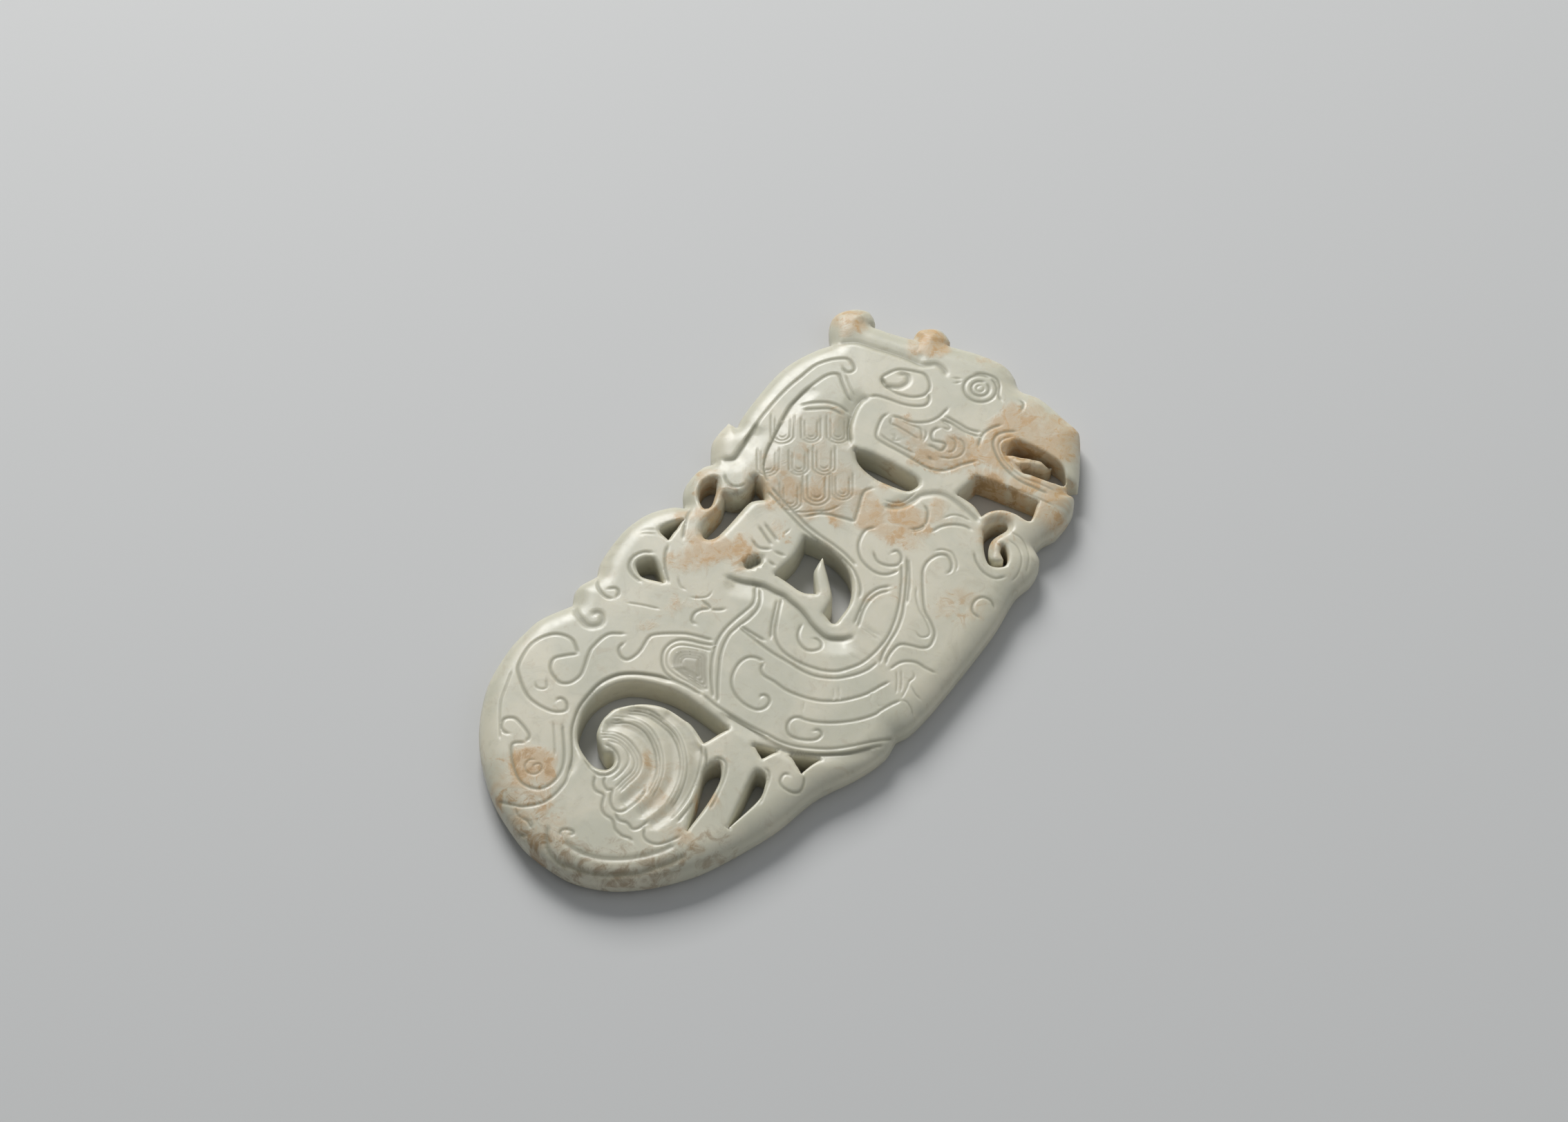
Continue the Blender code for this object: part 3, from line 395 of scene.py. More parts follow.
# %% Lines of the foreleg, the tendrils and the mane
FORELEG = [
    (SCOOP, [(0.8, 13.3), (2.0, 12.6), (3.5, 12.0), (4.6, 11.6)]),
    (BROAD, [(-3.6, 14.6), (-2.3, 10.8), (-1.1, 8.6), (-0.3, 6.4), (0.0, 4.2), (0.4, 2.2), (0.2, 0.3),
             (0.0, -2.1), (-0.7, -4.7), (-1.3, -6.3), (-1.8, -8.7), (-1.9, -10.8), (-1.1, -12.5),
             (0.6, -14.4), (2.1, -15.1)]),
    (LINE, [(3.9, -14.6), (5.8, -13.7), (8.1, -12.8), (10.6, -12.4), (13.0, -12.8), (15.1, -14.2)]),
    (LINE, [(4.1, -13.5), (6.2, -12.7), (8.4, -12.0), (11.2, -11.4), (14.0, -12.0), (16.1, -13.7)]),
    (HAIR, [(4.4, -15.6), (4.4, -17.2), (4.2, -19.7)]),
    (HAIR, [(5.2, -15.6), (5.2, -17.1), (5.1, -19.5)]),
    (LINE, [(4.8, 7.8), (4.9, 9.9)]),
    (LINE, [(8.0, 7.8), (7.5, 10.5)]),
    (LINE, [(8.3, 11.7), (9.3, 14.5), (10.3, 17.0)]),
    (LINE, [(9.9, 11.4), (10.8, 14.2), (11.6, 16.4)]),
    (LINE, [(6.8, 16.0), (6.2, 13.5), (7.5, 11.2)]),
    (FINE, [(11.9, 11.4), (13.9, 11.4)]),
    (LINE, [(-15.6, 27.0), (-15.4, 29.6), (-14.3, 31.6), (-12.1, 32.4), (-9.8, 31.6), (-8.5, 29.8)]),
    (LINE, [(-12.4, 22.4), (-9.8, 25.6), (-7.3, 27.6), (-5.2, 28.6)]),
    (LINE, [(-2.2, 27.2), (2.4, 30.0), (5.2, 31.2)]),
    (LINE, [(16.0, 30.8), (14.9, 29.4), (14.6, 27.6), (15.6, 26.2), (17.1, 25.9)]),
    (LINE, [(18.3, 21.2), (17.3, 17.0), (16.1, 11.7), (15.6, 8.9), (15.4, 5.3), (15.4, 1.9), (15.2, -1.4),
            (14.6, -4.4), (13.4, -7.0), (11.6, -9.2), (9.6, -10.4)]),
    (LINE, [(19.4, 20.9), (18.4, 16.6), (17.2, 11.3), (16.7, 8.6), (16.5, 5.2), (16.5, 1.7), (16.2, -1.8),
            (15.5, -5.0)]),
]
MANE = [
    (BROAD, [(30.2, 33.5), (25.9, 32.6), (22.8, 32.1), (20.5, 31.8), (19.3, 32.6), (18.7, 33.9)]),
    (LINE, [(34.0, 29.8), (29.7, 28.6), (25.9, 27.4), (22.9, 25.8), (21.2, 24.1), (20.0, 22.2)]),
    (LINE, [(24.6, 32.6), (27.5, 33.1), (31.8, 33.8), (36.9, 34.2), (41.4, 34.2), (45.4, 33.8),
            (49.1, 33.4), (51.2, 32.6), (53.4, 31.1), (55.1, 29.1), (54.9, 27.4), (53.9, 26.1),
            (52.7, 26.4), (52.4, 27.4), (52.9, 28.6)]),
    (LINE, [(28.2, 28.2), (32.7, 29.6), (37.5, 30.8), (39.7, 30.9), (43.0, 30.9), (46.0, 30.4),
            (48.4, 29.9), (50.0, 29.1), (50.7, 27.7), (49.1, 25.3), (47.5, 22.7), (47.2, 21.2)]),
    (FINE, [(51.6, 26.6), (49.9, 24.0), (48.5, 21.6)]),
]

# %% Lines of the head
HEAD = [
    (LINE, [(69.0, 5.6), (70.1, 4.5), (70.9, 2.9), (71.2, 1.1), (70.3, -0.4), (68.1, -1.8), (67.2, -3.4)]),
    (FINE, [(65.4, 8.5), (66.4, 6.7)]),
    (FINE, [(64.4, 7.5), (65.7, 6.2)]),
    (LINE, [(54.7, 18.6), (54.7, 15.5), (55.3, 13.4), (56.5, 11.5), (58.3, 10.3), (60.2, 10.6),
            (61.7, 12.1), (62.3, 13.7), (61.7, 15.5), (60.8, 17.3), (59.6, 18.9), (57.7, 19.8),
            (55.9, 20.1), (54.7, 18.6)]),
    (BROAD, [(55.7, 20.2), (54.9, 18.3), (55.4, 17.0), (56.5, 15.7), (58.4, 15.2), (59.8, 16.5),
             (58.9, 18.2)]),
    (LINE, [(50.4, 19.2), (51.6, 18.0), (52.5, 15.5), (53.4, 12.4), (54.7, 10.0), (56.2, 8.6), (57.7, 8.8),
            (58.9, 10.0)]),
    (BROAD, [(38.9, 15.0), (40.3, 16.6), (42.3, 18.0), (45.5, 19.4), (48.4, 19.9), (50.4, 19.2)]),
    (LINE, [(49.5, 13.4), (47.9, 13.7), (45.2, 12.9), (43.2, 11.6), (43.0, 9.2), (43.4, 5.4), (43.7, 1.3),
            (43.9, -1.4), (45.1, -4.1), (47.1, -5.7), (49.0, -6.6), (51.8, -8.5)]),
    (LINE, [(49.4, 12.5), (50.1, 11.1), (50.6, 9.1), (51.5, 7.3), (53.2, 5.5), (55.2, 4.6), (56.9, 4.4),
            (58.7, 4.4)]),
    (LINE, [(56.6, 3.7), (56.9, 0.3), (57.1, -2.4), (58.1, -4.9)]),
    (LINE, [(55.2, 3.8), (56.0, 1.2), (56.1, -1.9), (57.0, -5.4)]),
    (FINE, [(49.1, 12.2), (47.9, 11.4), (48.1, 9.9), (48.3, 7.3), (48.4, 4.2)]),
    (FINE, [(49.9, 10.1), (50.2, 7.9), (50.6, 5.5), (48.4, 3.5)]),
    (FINE, [(51.2, 4.7), (50.2, 3.7), (48.2, 3.2)]),
    (FINE, [(44.5, 11.4), (44.1, 9.7), (44.5, 6.3), (45.0, 2.7)]),
    (HAIR, [(45.8, 9.7), (45.8, 8.6), (44.8, 8.2), (46.0, 7.1)]),
    (LINE, [(53.6, 2.6), (52.5, 3.3), (51.1, 3.0), (50.1, 1.9), (50.6, 0.6), (51.0, -0.7), (50.2, -1.2),
            (49.1, -1.0), (48.8, 1.0), (48.3, 2.1)]),
    (FINE, [(55.1, 3.7), (55.1, 1.5), (54.4, 0.9), (53.9, 2.3)]),
    (FINE, [(52.8, -0.2), (52.9, -1.6), (52.0, -2.8), (50.5, -3.1), (49.5, -2.2)]),
    (FINE, [(53.7, -1.4), (53.8, -3.2), (52.6, -4.7), (50.6, -5.0), (48.7, -3.7), (47.5, -1.6)]),
    (LINE, [(46.2, 0.4), (46.0, -1.5)]),
    (LINE, [(62.6, -7.1), (60.4, -5.9), (58.0, -5.4), (55.7, -6.1), (54.7, -6.8)]),
    (LINE, [(63.2, -10.6), (61.4, -8.7), (59.5, -7.8), (57.6, -8.4), (56.2, -9.9), (54.6, -12.7),
            (53.8, -15.7), (53.6, -18.6), (54.1, -21.5), (54.9, -25.2)]),
    (FINE, [(61.5, -10.7), (59.9, -9.6), (58.2, -9.5), (56.7, -10.9), (55.6, -12.9), (54.9, -15.8),
            (54.7, -18.6), (55.5, -21.6), (56.5, -25.9)]),
    (FINE, [(48.8, -10.8), (49.8, -14.0), (50.8, -17.4), (51.8, -20.7), (52.5, -24.0), (53.2, -27.7)]),
    (LINE, [(70.0, -5.8), (69.7, -7.3), (67.8, -8.1)]),
    (BROAD, [(57.6, 33.4), (58.3, 32.3), (60.0, 29.8), (60.9, 26.8), (62.2, 22.9), (63.2, 19.2),
             (63.8, 16.1), (64.8, 14.6), (66.0, 13.4), (66.0, 11.5), (65.1, 9.7)]),
    (HAIR, [(65.7, 18.9), (67.2, 19.2), (68.7, 20.4), (70.3, 21.0), (71.8, 20.4), (72.6, 18.8),
            (71.9, 17.4)]),
    (HAIR, [(64.0, 36.6), (65.6, 35.8), (66.2, 34.2), (65.4, 32.8), (63.8, 32.6)]),
]
CHEST = [
    (BROAD, [(30.8, -0.1), (31.5, -1.9), (33.1, -3.4), (35.2, -4.2), (37.3, -4.6), (38.4, -5.3),
             (39.8, -6.6), (40.7, -8.3), (41.0, -10.6), (40.8, -13.2), (40.5, -15.8), (40.1, -18.3)]),
    (FINE, [(31.9, 0.4), (32.5, -1.1), (33.8, -2.5), (35.6, -3.1), (37.5, -3.5)]),
    (FINE, [(36.1, -11.9), (37.9, -12.9), (38.8, -14.6), (39.1, -16.8)]),
    (LINE, [(31.8, -12.0), (34.0, -12.7), (36.0, -14.3), (37.3, -16.5), (37.5, -18.4)]),
    (LINE, [(36.2, -6.6), (35.2, -8.4), (32.9, -9.7), (31.0, -9.5), (29.4, -8.0)]),
    (FINE, [(40.5, -25.5), (40.3, -28.2), (38.5, -30.6), (35.7, -31.9), (33.0, -32.0)]),
    (FINE, [(42.3, -24.5), (42.5, -27.9), (40.3, -31.1), (36.7, -33.1)]),
    (LINE, [(33.5, -21.8), (31.8, -24.0), (30.9, -26.6), (31.3, -29.2), (33.3, -30.6)]),
    (LINE, [(39.4, 29.5), (41.4, 27.8), (42.9, 26.2), (43.9, 24.6), (44.4, 23.1), (44.6, 21.6),
            (44.6, 19.9)]),
    (LINE, [(38.9, 28.2), (40.5, 26.4), (42.1, 24.6), (42.8, 23.4), (43.1, 21.8), (43.2, 20.6)]),
]
SCALE_BORDER = [
    (LINE, [(18.0, 11.0), (19.3, 10.0), (20.7, 8.9), (21.8, 7.2), (22.5, 5.4), (23.2, 3.6), (23.8, 2.3),
            (25.3, 2.8), (27.0, 3.5), (29.0, 4.5), (30.8, 5.1), (32.1, 4.7), (32.9, 4.0)]),
    (FINE, [(17.4, 13.9), (18.7, 11.9), (20.5, 10.1), (22.1, 8.3), (23.6, 7.4), (25.1, 6.9)]),
]

# %% [markdown]
# Some lines follow a rule, so a loop makes them. The eye is a set of rings. The tail's curl has bundles of three
# lines side by side. The tan panel on the thigh is ruled with lines that repeat the panel's edge inwards.

# %% Lines that follow a rule
EYE_CENTRE = np.array((66.9, 2.2))
EYE_RINGS = ((3.5, LINE), (1.9, LINE), (0.8, FINE))
BUNDLE_GAP = 0.7
THIGH_PANEL = [(-27.4, 8.8), (-26.4, 10.1), (-24.9, 10.8), (-23.4, 10.6), (-22.2, 9.4), (-21.2, 7.6),
               (-20.5, 5.7), (-22.6, 3.8), (-24.6, 2.1), (-26.9, 0.2), (-27.3, 2.6), (-27.5, 5.7)]
PANEL_RULES = (1.0, 0.83, 0.66, 0.49)


def circle(centre, radius, count=24):
    """A closed run of points round a centre."""
    turns = np.linspace(0, 2 * math.pi, count + 1)
    return [(centre[0] + radius * math.cos(a), centre[1] + radius * math.sin(a)) for a in turns]


def beside(run, offset):
    """Points at an offset to the left of a run."""
    way = np.gradient(np.asarray(run, dtype=float), axis=0)
    way /= np.linalg.norm(way, axis=1)[:, None]
    return run + offset * np.stack([-way[:, 1], way[:, 0]], axis=1)


def ruled(ring, shares):
    """The ring repeated towards its middle."""
    ring = np.array(ring)
    centre = ring.mean(axis=0)
    return [[tuple(p) for p in centre + (np.vstack([ring, ring[:1]]) - centre) * share] for share in shares]


RULED = [(cut, circle(EYE_CENTRE, radius)) for radius, cut in EYE_RINGS]
RULED += [(FINE, [tuple(p) for p in beside(run, side * BUNDLE_GAP)])
          for run in TAIL_BUNDLES for side in (-1, 0, 1)]
RULED += [(HAIR, run) for run in ruled(THIGH_PANEL, PANEL_RULES)]
LINES = (RUMP + TAIL_BACK + TAIL_CURL + FLAMES + HAUNCH + BELLY + WAIST + FORELEG + MANE + HEAD + CHEST
         + SCALE_BORDER + RULED)
print("Carved lines:", len(LINES))

# %% [markdown]
# ## The neck's scales
# The scales repeat, so Geometry Nodes set them out. One scale is a U with a second U and a short arc inside it. The
# tree puts a copy of it on each place, at that place's size and open towards the ear, and makes the copies real, so
# they can be cut like any other line. Its inputs are the scale's radius, the gap to the next line and the length of
# the U's sides.

# %% Helpers for node trees
def add_node(tree, kind, links=None, **values):
    """A node with its plain values set and its inputs linked; inputs are found by name or number."""
    node = tree.nodes.new(kind)
    for name, value in values.items():
        setattr(node, name, value)
    for key, source in (links or {}).items():
        if isinstance(source, bpy.types.NodeSocket):
            tree.links.new(source, node.inputs[key])
        else:
            node.inputs[key].default_value = source
    return node


def new_tree(name, inputs):
    """An empty geometry tree with a geometry input, the named inputs, and a geometry output."""
    tree = bpy.data.node_groups.new(name, "GeometryNodeTree")
    tree.interface.new_socket("Geometry", in_out="INPUT", socket_type="NodeSocketGeometry")
    for label, kind in inputs:
        tree.interface.new_socket(label, in_out="INPUT", socket_type=kind)
    tree.interface.new_socket("Geometry", in_out="OUTPUT", socket_type="NodeSocketGeometry")
    entry = tree.nodes.new("NodeGroupInput").outputs
    return tree, entry


def run_tree(obj, tree, values):
    """Runs the tree on the object once and returns the result as a plain mesh."""
    modifier = obj.modifiers.new(tree.name, "NODES")
    modifier.node_group = tree
    sockets = {item.name: item.identifier for item in tree.interface.items_tree if item.in_out == "INPUT"}
    for label, value in values.items():
        modifier[sockets[label]] = value
    evaluated = obj.evaluated_get(bpy.context.evaluated_depsgraph_get())
    mesh = bpy.data.meshes.new_from_object(evaluated)
    obj.modifiers.remove(modifier)
    return mesh


def add_mesh(name, vertices, edges=(), faces=()):
    """A mesh object in the scene."""
    mesh = bpy.data.meshes.new(name)
    mesh.from_pydata([tuple(map(float, v)) for v in vertices], list(edges), list(faces))
    obj = bpy.data.objects.new(name, mesh)
    bpy.context.scene.collection.objects.link(obj)
    return obj


# %% The tree that sets out scales
def scale_tree():
    tree, entry = new_tree("Set out scales", [("Radius", "NodeSocketFloat"), ("Gap", "NodeSocketFloat"),
                                              ("Side", "NodeSocketFloat"), ("Turn", "NodeSocketFloat")])
    both = add_node(tree, "GeometryNodeJoinGeometry")
    ends = add_node(tree, "GeometryNodeCurveEndpointSelection").outputs[0]
    for gaps, sides in ((0, 1.0), (1, 0.8), (2, 0.0)):
        inset = add_node(tree, "ShaderNodeMath", {0: entry["Gap"], 1: float(gaps)}, operation="MULTIPLY")
        radius = add_node(tree, "ShaderNodeMath", {0: entry["Radius"], 1: inset.outputs[0]}, operation="SUBTRACT")
        arc = add_node(tree, "GeometryNodeCurveArc", {"Resolution": 14, "Radius": radius.outputs[0],
                                                      "Start Angle": math.pi, "Sweep Angle": math.pi})
        length = add_node(tree, "ShaderNodeMath", {0: entry["Side"], 1: sides}, operation="MULTIPLY")
        up = add_node(tree, "ShaderNodeCombineXYZ", {"Y": length.outputs[0]})
        scale = add_node(tree, "GeometryNodeSetPosition", {"Geometry": arc.outputs["Curve"], "Selection": ends,
                                                           "Offset": up.outputs[0]})
        tree.links.new(scale.outputs[0], both.inputs[0])
    spin = add_node(tree, "ShaderNodeCombineXYZ", {"Z": entry["Turn"]})
    size = add_node(tree, "GeometryNodeInputNamedAttribute", {"Name": "size"}, data_type="FLOAT")
    copies = add_node(tree, "GeometryNodeInstanceOnPoints", {"Points": entry["Geometry"],
                                                             "Instance": both.outputs[0],
                                                             "Rotation": spin.outputs[0],
                                                             "Scale": size.outputs[0]})
    real = add_node(tree, "GeometryNodeRealizeInstances", {0: copies.outputs[0]})
    wires = add_node(tree, "GeometryNodeCurveToMesh", {"Curve": real.outputs[0]})
    add_node(tree, "NodeGroupOutput", {0: wires.outputs[0]})
    return tree


# %% Set out the scales
SCALE_RADIUS = 2.3
SCALE_GAP = 0.78
SCALE_SIDE = 5.0
SCALE_TURN = math.radians(-51)
# x, y and size of each scale, in three rows from the chest up
SCALES_AT = [
    (19.3, 15.6, 0.99), (24.1, 12.5, 1.24), (28.1, 8.7, 0.96),
    (23.1, 24.8, 0.99), (27.1, 19.7, 0.90), (30.7, 15.7, 1.02),
    (31.4, 27.6, 1.06), (35.1, 22.8, 0.90), (38.7, 18.5, 0.99),
]


def scale_runs():
    """The scales' lines, read back from the tree's result as runs of points."""
    places = add_mesh("scale places", [(x, y, 0) for x, y, _ in SCALES_AT])
    sizes = places.data.attributes.new("size", "FLOAT", "POINT")
    sizes.data.foreach_set("value", [size for _, _, size in SCALES_AT])
    wires = run_tree(places, scale_tree(), {"Radius": SCALE_RADIUS, "Gap": SCALE_GAP, "Side": SCALE_SIDE,
                                            "Turn": SCALE_TURN})
    runs, run = [], []
    for edge in wires.edges:
        a, b = (tuple(wires.vertices[k].co[:2]) for k in edge.vertices)
        if run and run[-1] != a:
            runs.append(run)
            run = []
        run = run or [a]
        run.append(b)
    runs.append(run)
    bpy.data.objects.remove(places)
    return runs


SCALES = scale_runs()
LINES += [(FINE, run) for run in SCALES]
print("Scale lines:", len(SCALES))

# %% [markdown]
# ## The stone
# The plaque's two faces share their rims, so the mesh is made in plan. Rows of points run beside each rim, where the
# rounding needs them. More rows run beside each carved line, where the groove's slopes will be, and an even grid fills
# the rest. A Delaunay triangulation joins them, with the rims as fixed edges.

# %% Distances in plan
def tree_of(runs):
    """A search tree over runs of points."""
    points = np.vstack(runs)
    tree = kdtree.KDTree(len(points))
    for k, (x, y) in enumerate(points):
        tree.insert((x, y, 0), k)
    tree.balance()
    return tree


def distance(points, tree):
    """The distance in plan from each point to the nearest one in a tree."""
    return np.array([tree.find((x, y, 0))[2] for x, y in points])


def dense(ring, step=0.12):
    """A closed ring with many points between its corners."""
    closed = np.vstack([ring, ring[:1]])
    along = np.concatenate([[0], np.cumsum(np.linalg.norm(np.diff(closed, axis=0), axis=1))])
    wanted = np.linspace(0, along[-1], round(along[-1] / step))
    return np.stack([np.interp(wanted, along, closed[:, k]) for k in (0, 1)], axis=1)


def inside(points, ring):
    """True where a point is inside the ring."""
    result = np.zeros(len(points), dtype=bool)
    x, y = points[:, 0], points[:, 1]
    for (ax, ay), (bx, by) in zip(ring, np.roll(ring, -1, axis=0)):
        if ay != by:
            result ^= ((ay > y) != (by > y)) & (x < ax + (y - ay) * (bx - ax) / (by - ay))
    return result


def on_stone(points):
    """True inside the outer edge and in none of the holes."""
    result = inside(points, OUTER)
    for ring in RINGS[1:]:
        result &= ~inside(points, ring)
    return result


OUTER_TREE = tree_of([dense(OUTER)])
BODY_TREE = tree_of([dense(ring) for ring in BODY_RINGS])
STRAND_TREE = tree_of([dense(ring) for ring in STRAND_RINGS])
EDGE_TREE = tree_of([dense(ring) for ring in RINGS])
LINE_STEP = 0.3
LINE_RUNS = [(cut, smooth(points, LINE_STEP)) for cut, points in LINES]
# the back has only a few of the main contours
BACK_STEP = 0.5
BACK_RUNS = [(BROAD, smooth(points, BACK_STEP))
             for _, points in (TAIL_BACK[0], HAUNCH[0], BELLY[0], MANE[2], HEAD[6], HEAD[7])]

# %% [markdown]
# The rounding of each edge is a quarter of an ellipse, and its size is what makes the stone look soft: wide on the
# outer rim, small along the saw cuts, and wide again on the tendril.

# %% The faces' heights
RIM_WIDTH, RIM_DROP, RIM_RISE = 5.2, 3.4, 2.2
HOLE_EDGE = 1.1
STRAND_EDGE = 2.1
PILLOW_WIDTH, PILLOW_DROP = 15.0, 0.3
LEDGE_FOOT, LEDGE_END = 0.35, 3.0
LEFT, RIGHT = 1, -1
# drop, reach, low side and course of each ledge
LEDGES = [
    # the curl's edge along the gap, which is round
    (1.3, 5.0, RIGHT, [(-35.1, -2.0), (-35.3, 4.0), (-37.6, 8.5), (-41.6, 11.9), (-44.0, 12.5), (-46.5, 12.3),
                       (-49.3, 10.8), (-51.2, 7.2)]),
    (0.35, 3.0, RIGHT, [(-37.5, -5.0), (-39.5, -10.0), (-44.0, -12.5), (-49.0, -15.0), (-54.0, -17.5)]),
    # the lip of the tail's bend
    (0.35, 1.8, RIGHT, [(-60.8, 9.4), (-56.3, 11.3), (-52.0, 15.1), (-49.3, 16.7), (-46.4, 17.8), (-43.2, 18.2),
                        (-40.0, 18.2), (-37.6, 17.6), (-35.3, 16.3), (-33.3, 14.2), (-31.8, 11.9),
                        (-30.5, 9.4), (-29.5, 6.1)]),
    # below the body's lower contour
    (0.45, 3.0, RIGHT, [(-28.9, -5.0), (-28.6, -10.0), (-28.2, -16.4), (-27.2, -21.5), (-24.6, -26.6),
                        (-20.0, -31.5), (-15.0, -34.8)]),
    # the belly beside the foreleg
    (0.5, 4.5, RIGHT, [(-3.6, 14.6), (-2.3, 10.8), (-1.1, 8.6), (-0.3, 6.4), (0.0, 4.2), (0.4, 2.2), (0.2, 0.3),
                       (0.0, -2.1), (-0.7, -4.7), (-1.3, -6.3), (-1.8, -8.7), (-1.9, -10.8), (-1.1, -12.5),
                       (0.6, -14.4), (2.1, -15.1)]),
    # the neck beside the cheek
    (0.55, 3.5, LEFT, [(37.5, 13.6), (38.9, 15.0), (40.3, 16.6), (42.3, 18.0), (45.5, 19.4), (48.4, 19.9),
                       (50.4, 19.2)]),
    # the neck above the chest
    (0.4, 3.0, LEFT, [(30.8, -0.1), (31.5, -1.9), (33.1, -3.4), (35.2, -4.2), (37.3, -4.6)]),
    # the crest behind the brow
    (0.35, 4.0, LEFT, [(57.6, 33.4), (58.3, 32.3), (60.0, 29.8), (60.9, 26.8), (62.2, 22.9), (63.2, 19.2),
                      (63.8, 16.1), (64.8, 14.6)]),
    # the mane's locks
    (0.45, 4.0, RIGHT, [(18.7, 33.9), (19.3, 32.6), (20.5, 31.8), (22.8, 32.1), (25.9, 32.6), (30.2, 33.5)]),
    (0.4, 3.0, RIGHT, [(20.0, 22.2), (21.2, 24.1), (22.9, 25.8), (25.9, 27.4), (29.7, 28.6), (34.0, 29.8),
                       (39.7, 30.9), (46.0, 30.4)]),
    # the lips' inner edge
    (0.9, 2.4, RIGHT, [(56.0, -20.0), (55.6, -16.0), (56.4, -12.6), (58.0, -10.6), (60.2, -10.6)]),
    # both sides of the hook in the body's hole
    (0.9, 1.8, RIGHT, [(2.4, -7.0), (6.2, -6.0), (9.6, -2.4), (12.9, 1.9)]),
    (0.9, 1.8, RIGHT, [(12.9, 1.9), (10.6, 1.7), (8.5, 0.8), (5.2, -2.6)]),
    # both sides of the tongue, and its tip
    (2.4, 5.5, LEFT, [(59.6, -23.2), (61.7, -21.2), (63.0, -18.0)]),
    (1.2, 2.2, LEFT, [(57.4, -16.6), (58.6, -18.2), (60.0, -20.3), (61.7, -21.0)]),
    (1.2, 2.2, LEFT, [(61.7, -21.0), (60.2, -16.8), (58.9, -14.7), (57.6, -12.1)]),
    # the beard's curl
    (0.8, 1.6, LEFT, [(39.3, -20.0), (41.5, -20.0), (43.2, -21.0), (43.8, -22.6), (42.6, -23.6),
                      (39.0, -22.7), (36.0, -23.8), (34.4, -26.2)]),
]


def quarter(share):
    """A quarter circle's fall: 1 at the edge, 0 from share 1 inwards."""
    t = 1 - np.clip(share, 0, 1)
    return 1 - np.sqrt(1 - t * t)


def ease(share):
    """0 to 1 with soft ends."""
    t = np.clip(share, 0, 1)
    return t * t * (3 - 2 * t)


def edge_fall(points, rim_fall, strand_fall, pillow):
    """How far the rounded edges fall below a face."""
    outer = distance(points, OUTER_TREE)
    rim = rim_fall * quarter(outer / RIM_WIDTH) + pillow * (1 - ease(outer / PILLOW_WIDTH))
    hole = HOLE_EDGE * quarter(distance(points, BODY_TREE) / HOLE_EDGE)
    strand = strand_fall * quarter(distance(points, STRAND_TREE) / strand_fall)
    return np.maximum(rim, np.maximum(hole, strand))


def ledge_fall(points):
    """How far the forms below a ledge lie under the face."""
    fall = np.zeros(len(points))
    for drop, width, side, run in LEDGES:
        run = smooth(run, 0.25)
        way = np.gradient(run, axis=0)
        way /= np.linalg.norm(way, axis=1)[:, None]
        box = np.all((points > run.min(axis=0) - width) & (points < run.max(axis=0) + width), axis=1)
        tree = tree_of([run])
        near = np.array([tree.find((x, y, 0))[1] for x, y in points[box]])
        offset = points[box] - run[near]
        across = side * (way[near, 0] * offset[:, 1] - way[near, 1] * offset[:, 0])
        away = np.linalg.norm(offset, axis=1)
        ends = ease(np.minimum(near, len(run) - 1 - near) * 0.25 / LEDGE_END)
        low = drop * ends * ease((across + LEDGE_FOOT) / (2 * LEDGE_FOOT)) * (1 - ease(away / width))
        fall[box] = np.maximum(fall[box], low)
    return fall


def top_height(points):
    fall = edge_fall(points, RIM_DROP - PILLOW_DROP, STRAND_EDGE, PILLOW_DROP)
    return THICKNESS - fall - ledge_fall(points)


def under_height(points):
    return edge_fall(points, RIM_RISE, HOLE_EDGE, 0)


# %% Points of a face
def thinned(points, gap, count):
    """The points in order, without those nearer than the gap to an earlier one; the first ones all stay."""
    cells, kept = {}, []
    for k, (x, y) in enumerate(points):
        cell = (int(x // gap), int(y // gap))
        near = [p for i in (-1, 0, 1) for j in (-1, 0, 1) for p in cells.get((cell[0] + i, cell[1] + j), ())]
        if k < count or all((x - p[0]) ** 2 + (y - p[1]) ** 2 > gap * gap for p in near):
            cells.setdefault(cell, []).append((x, y))
            kept.append((x, y))
    return np.array(kept)


def rows_inside(ring, offsets):
    """Rows of points at offsets inside a rim, where no other rim is nearer."""
    rows = []
    closed = np.vstack([ring[-1:], ring, ring[:1]])
    for offset in offsets:
        row = beside(closed, offset)[1:-1]
        rows.append(row[distance(row, EDGE_TREE) > offset * 0.93])
    return rows


def grid(step):
    """An even grid of points, each second row shifted by half a step."""
    low, high = OUTER.min(axis=0), OUTER.max(axis=0)
    ys = np.arange(low[1], high[1], step * math.sqrt(3) / 2)
    return np.array([(x + (k % 2) * step / 2, y) for k, y in enumerate(ys) for x in np.arange(low[0], high[0], step)])


RIM_ROWS = (0.15, 0.45, 0.9, 1.4, 2.0)
HOLE_ROWS = (0.12, 0.35, 0.7, 1.1)
LINE_ROWS = (0, 0.5, -0.5, 1.0, -1.0, 1.5, -1.5)
CLOSEST = 0.19


def line_rows(runs):
    """Rows of points on each carved line and at shares of its half width to both sides."""
    rows = []
    for share in LINE_ROWS:
        for (half_width, _), run in runs:
            row = beside(run, share * half_width) if share else run
            row = row[on_stone(row)]
            if len(row):
                rows.append(row[distance(row, EDGE_TREE) > 0.4])
    return rows


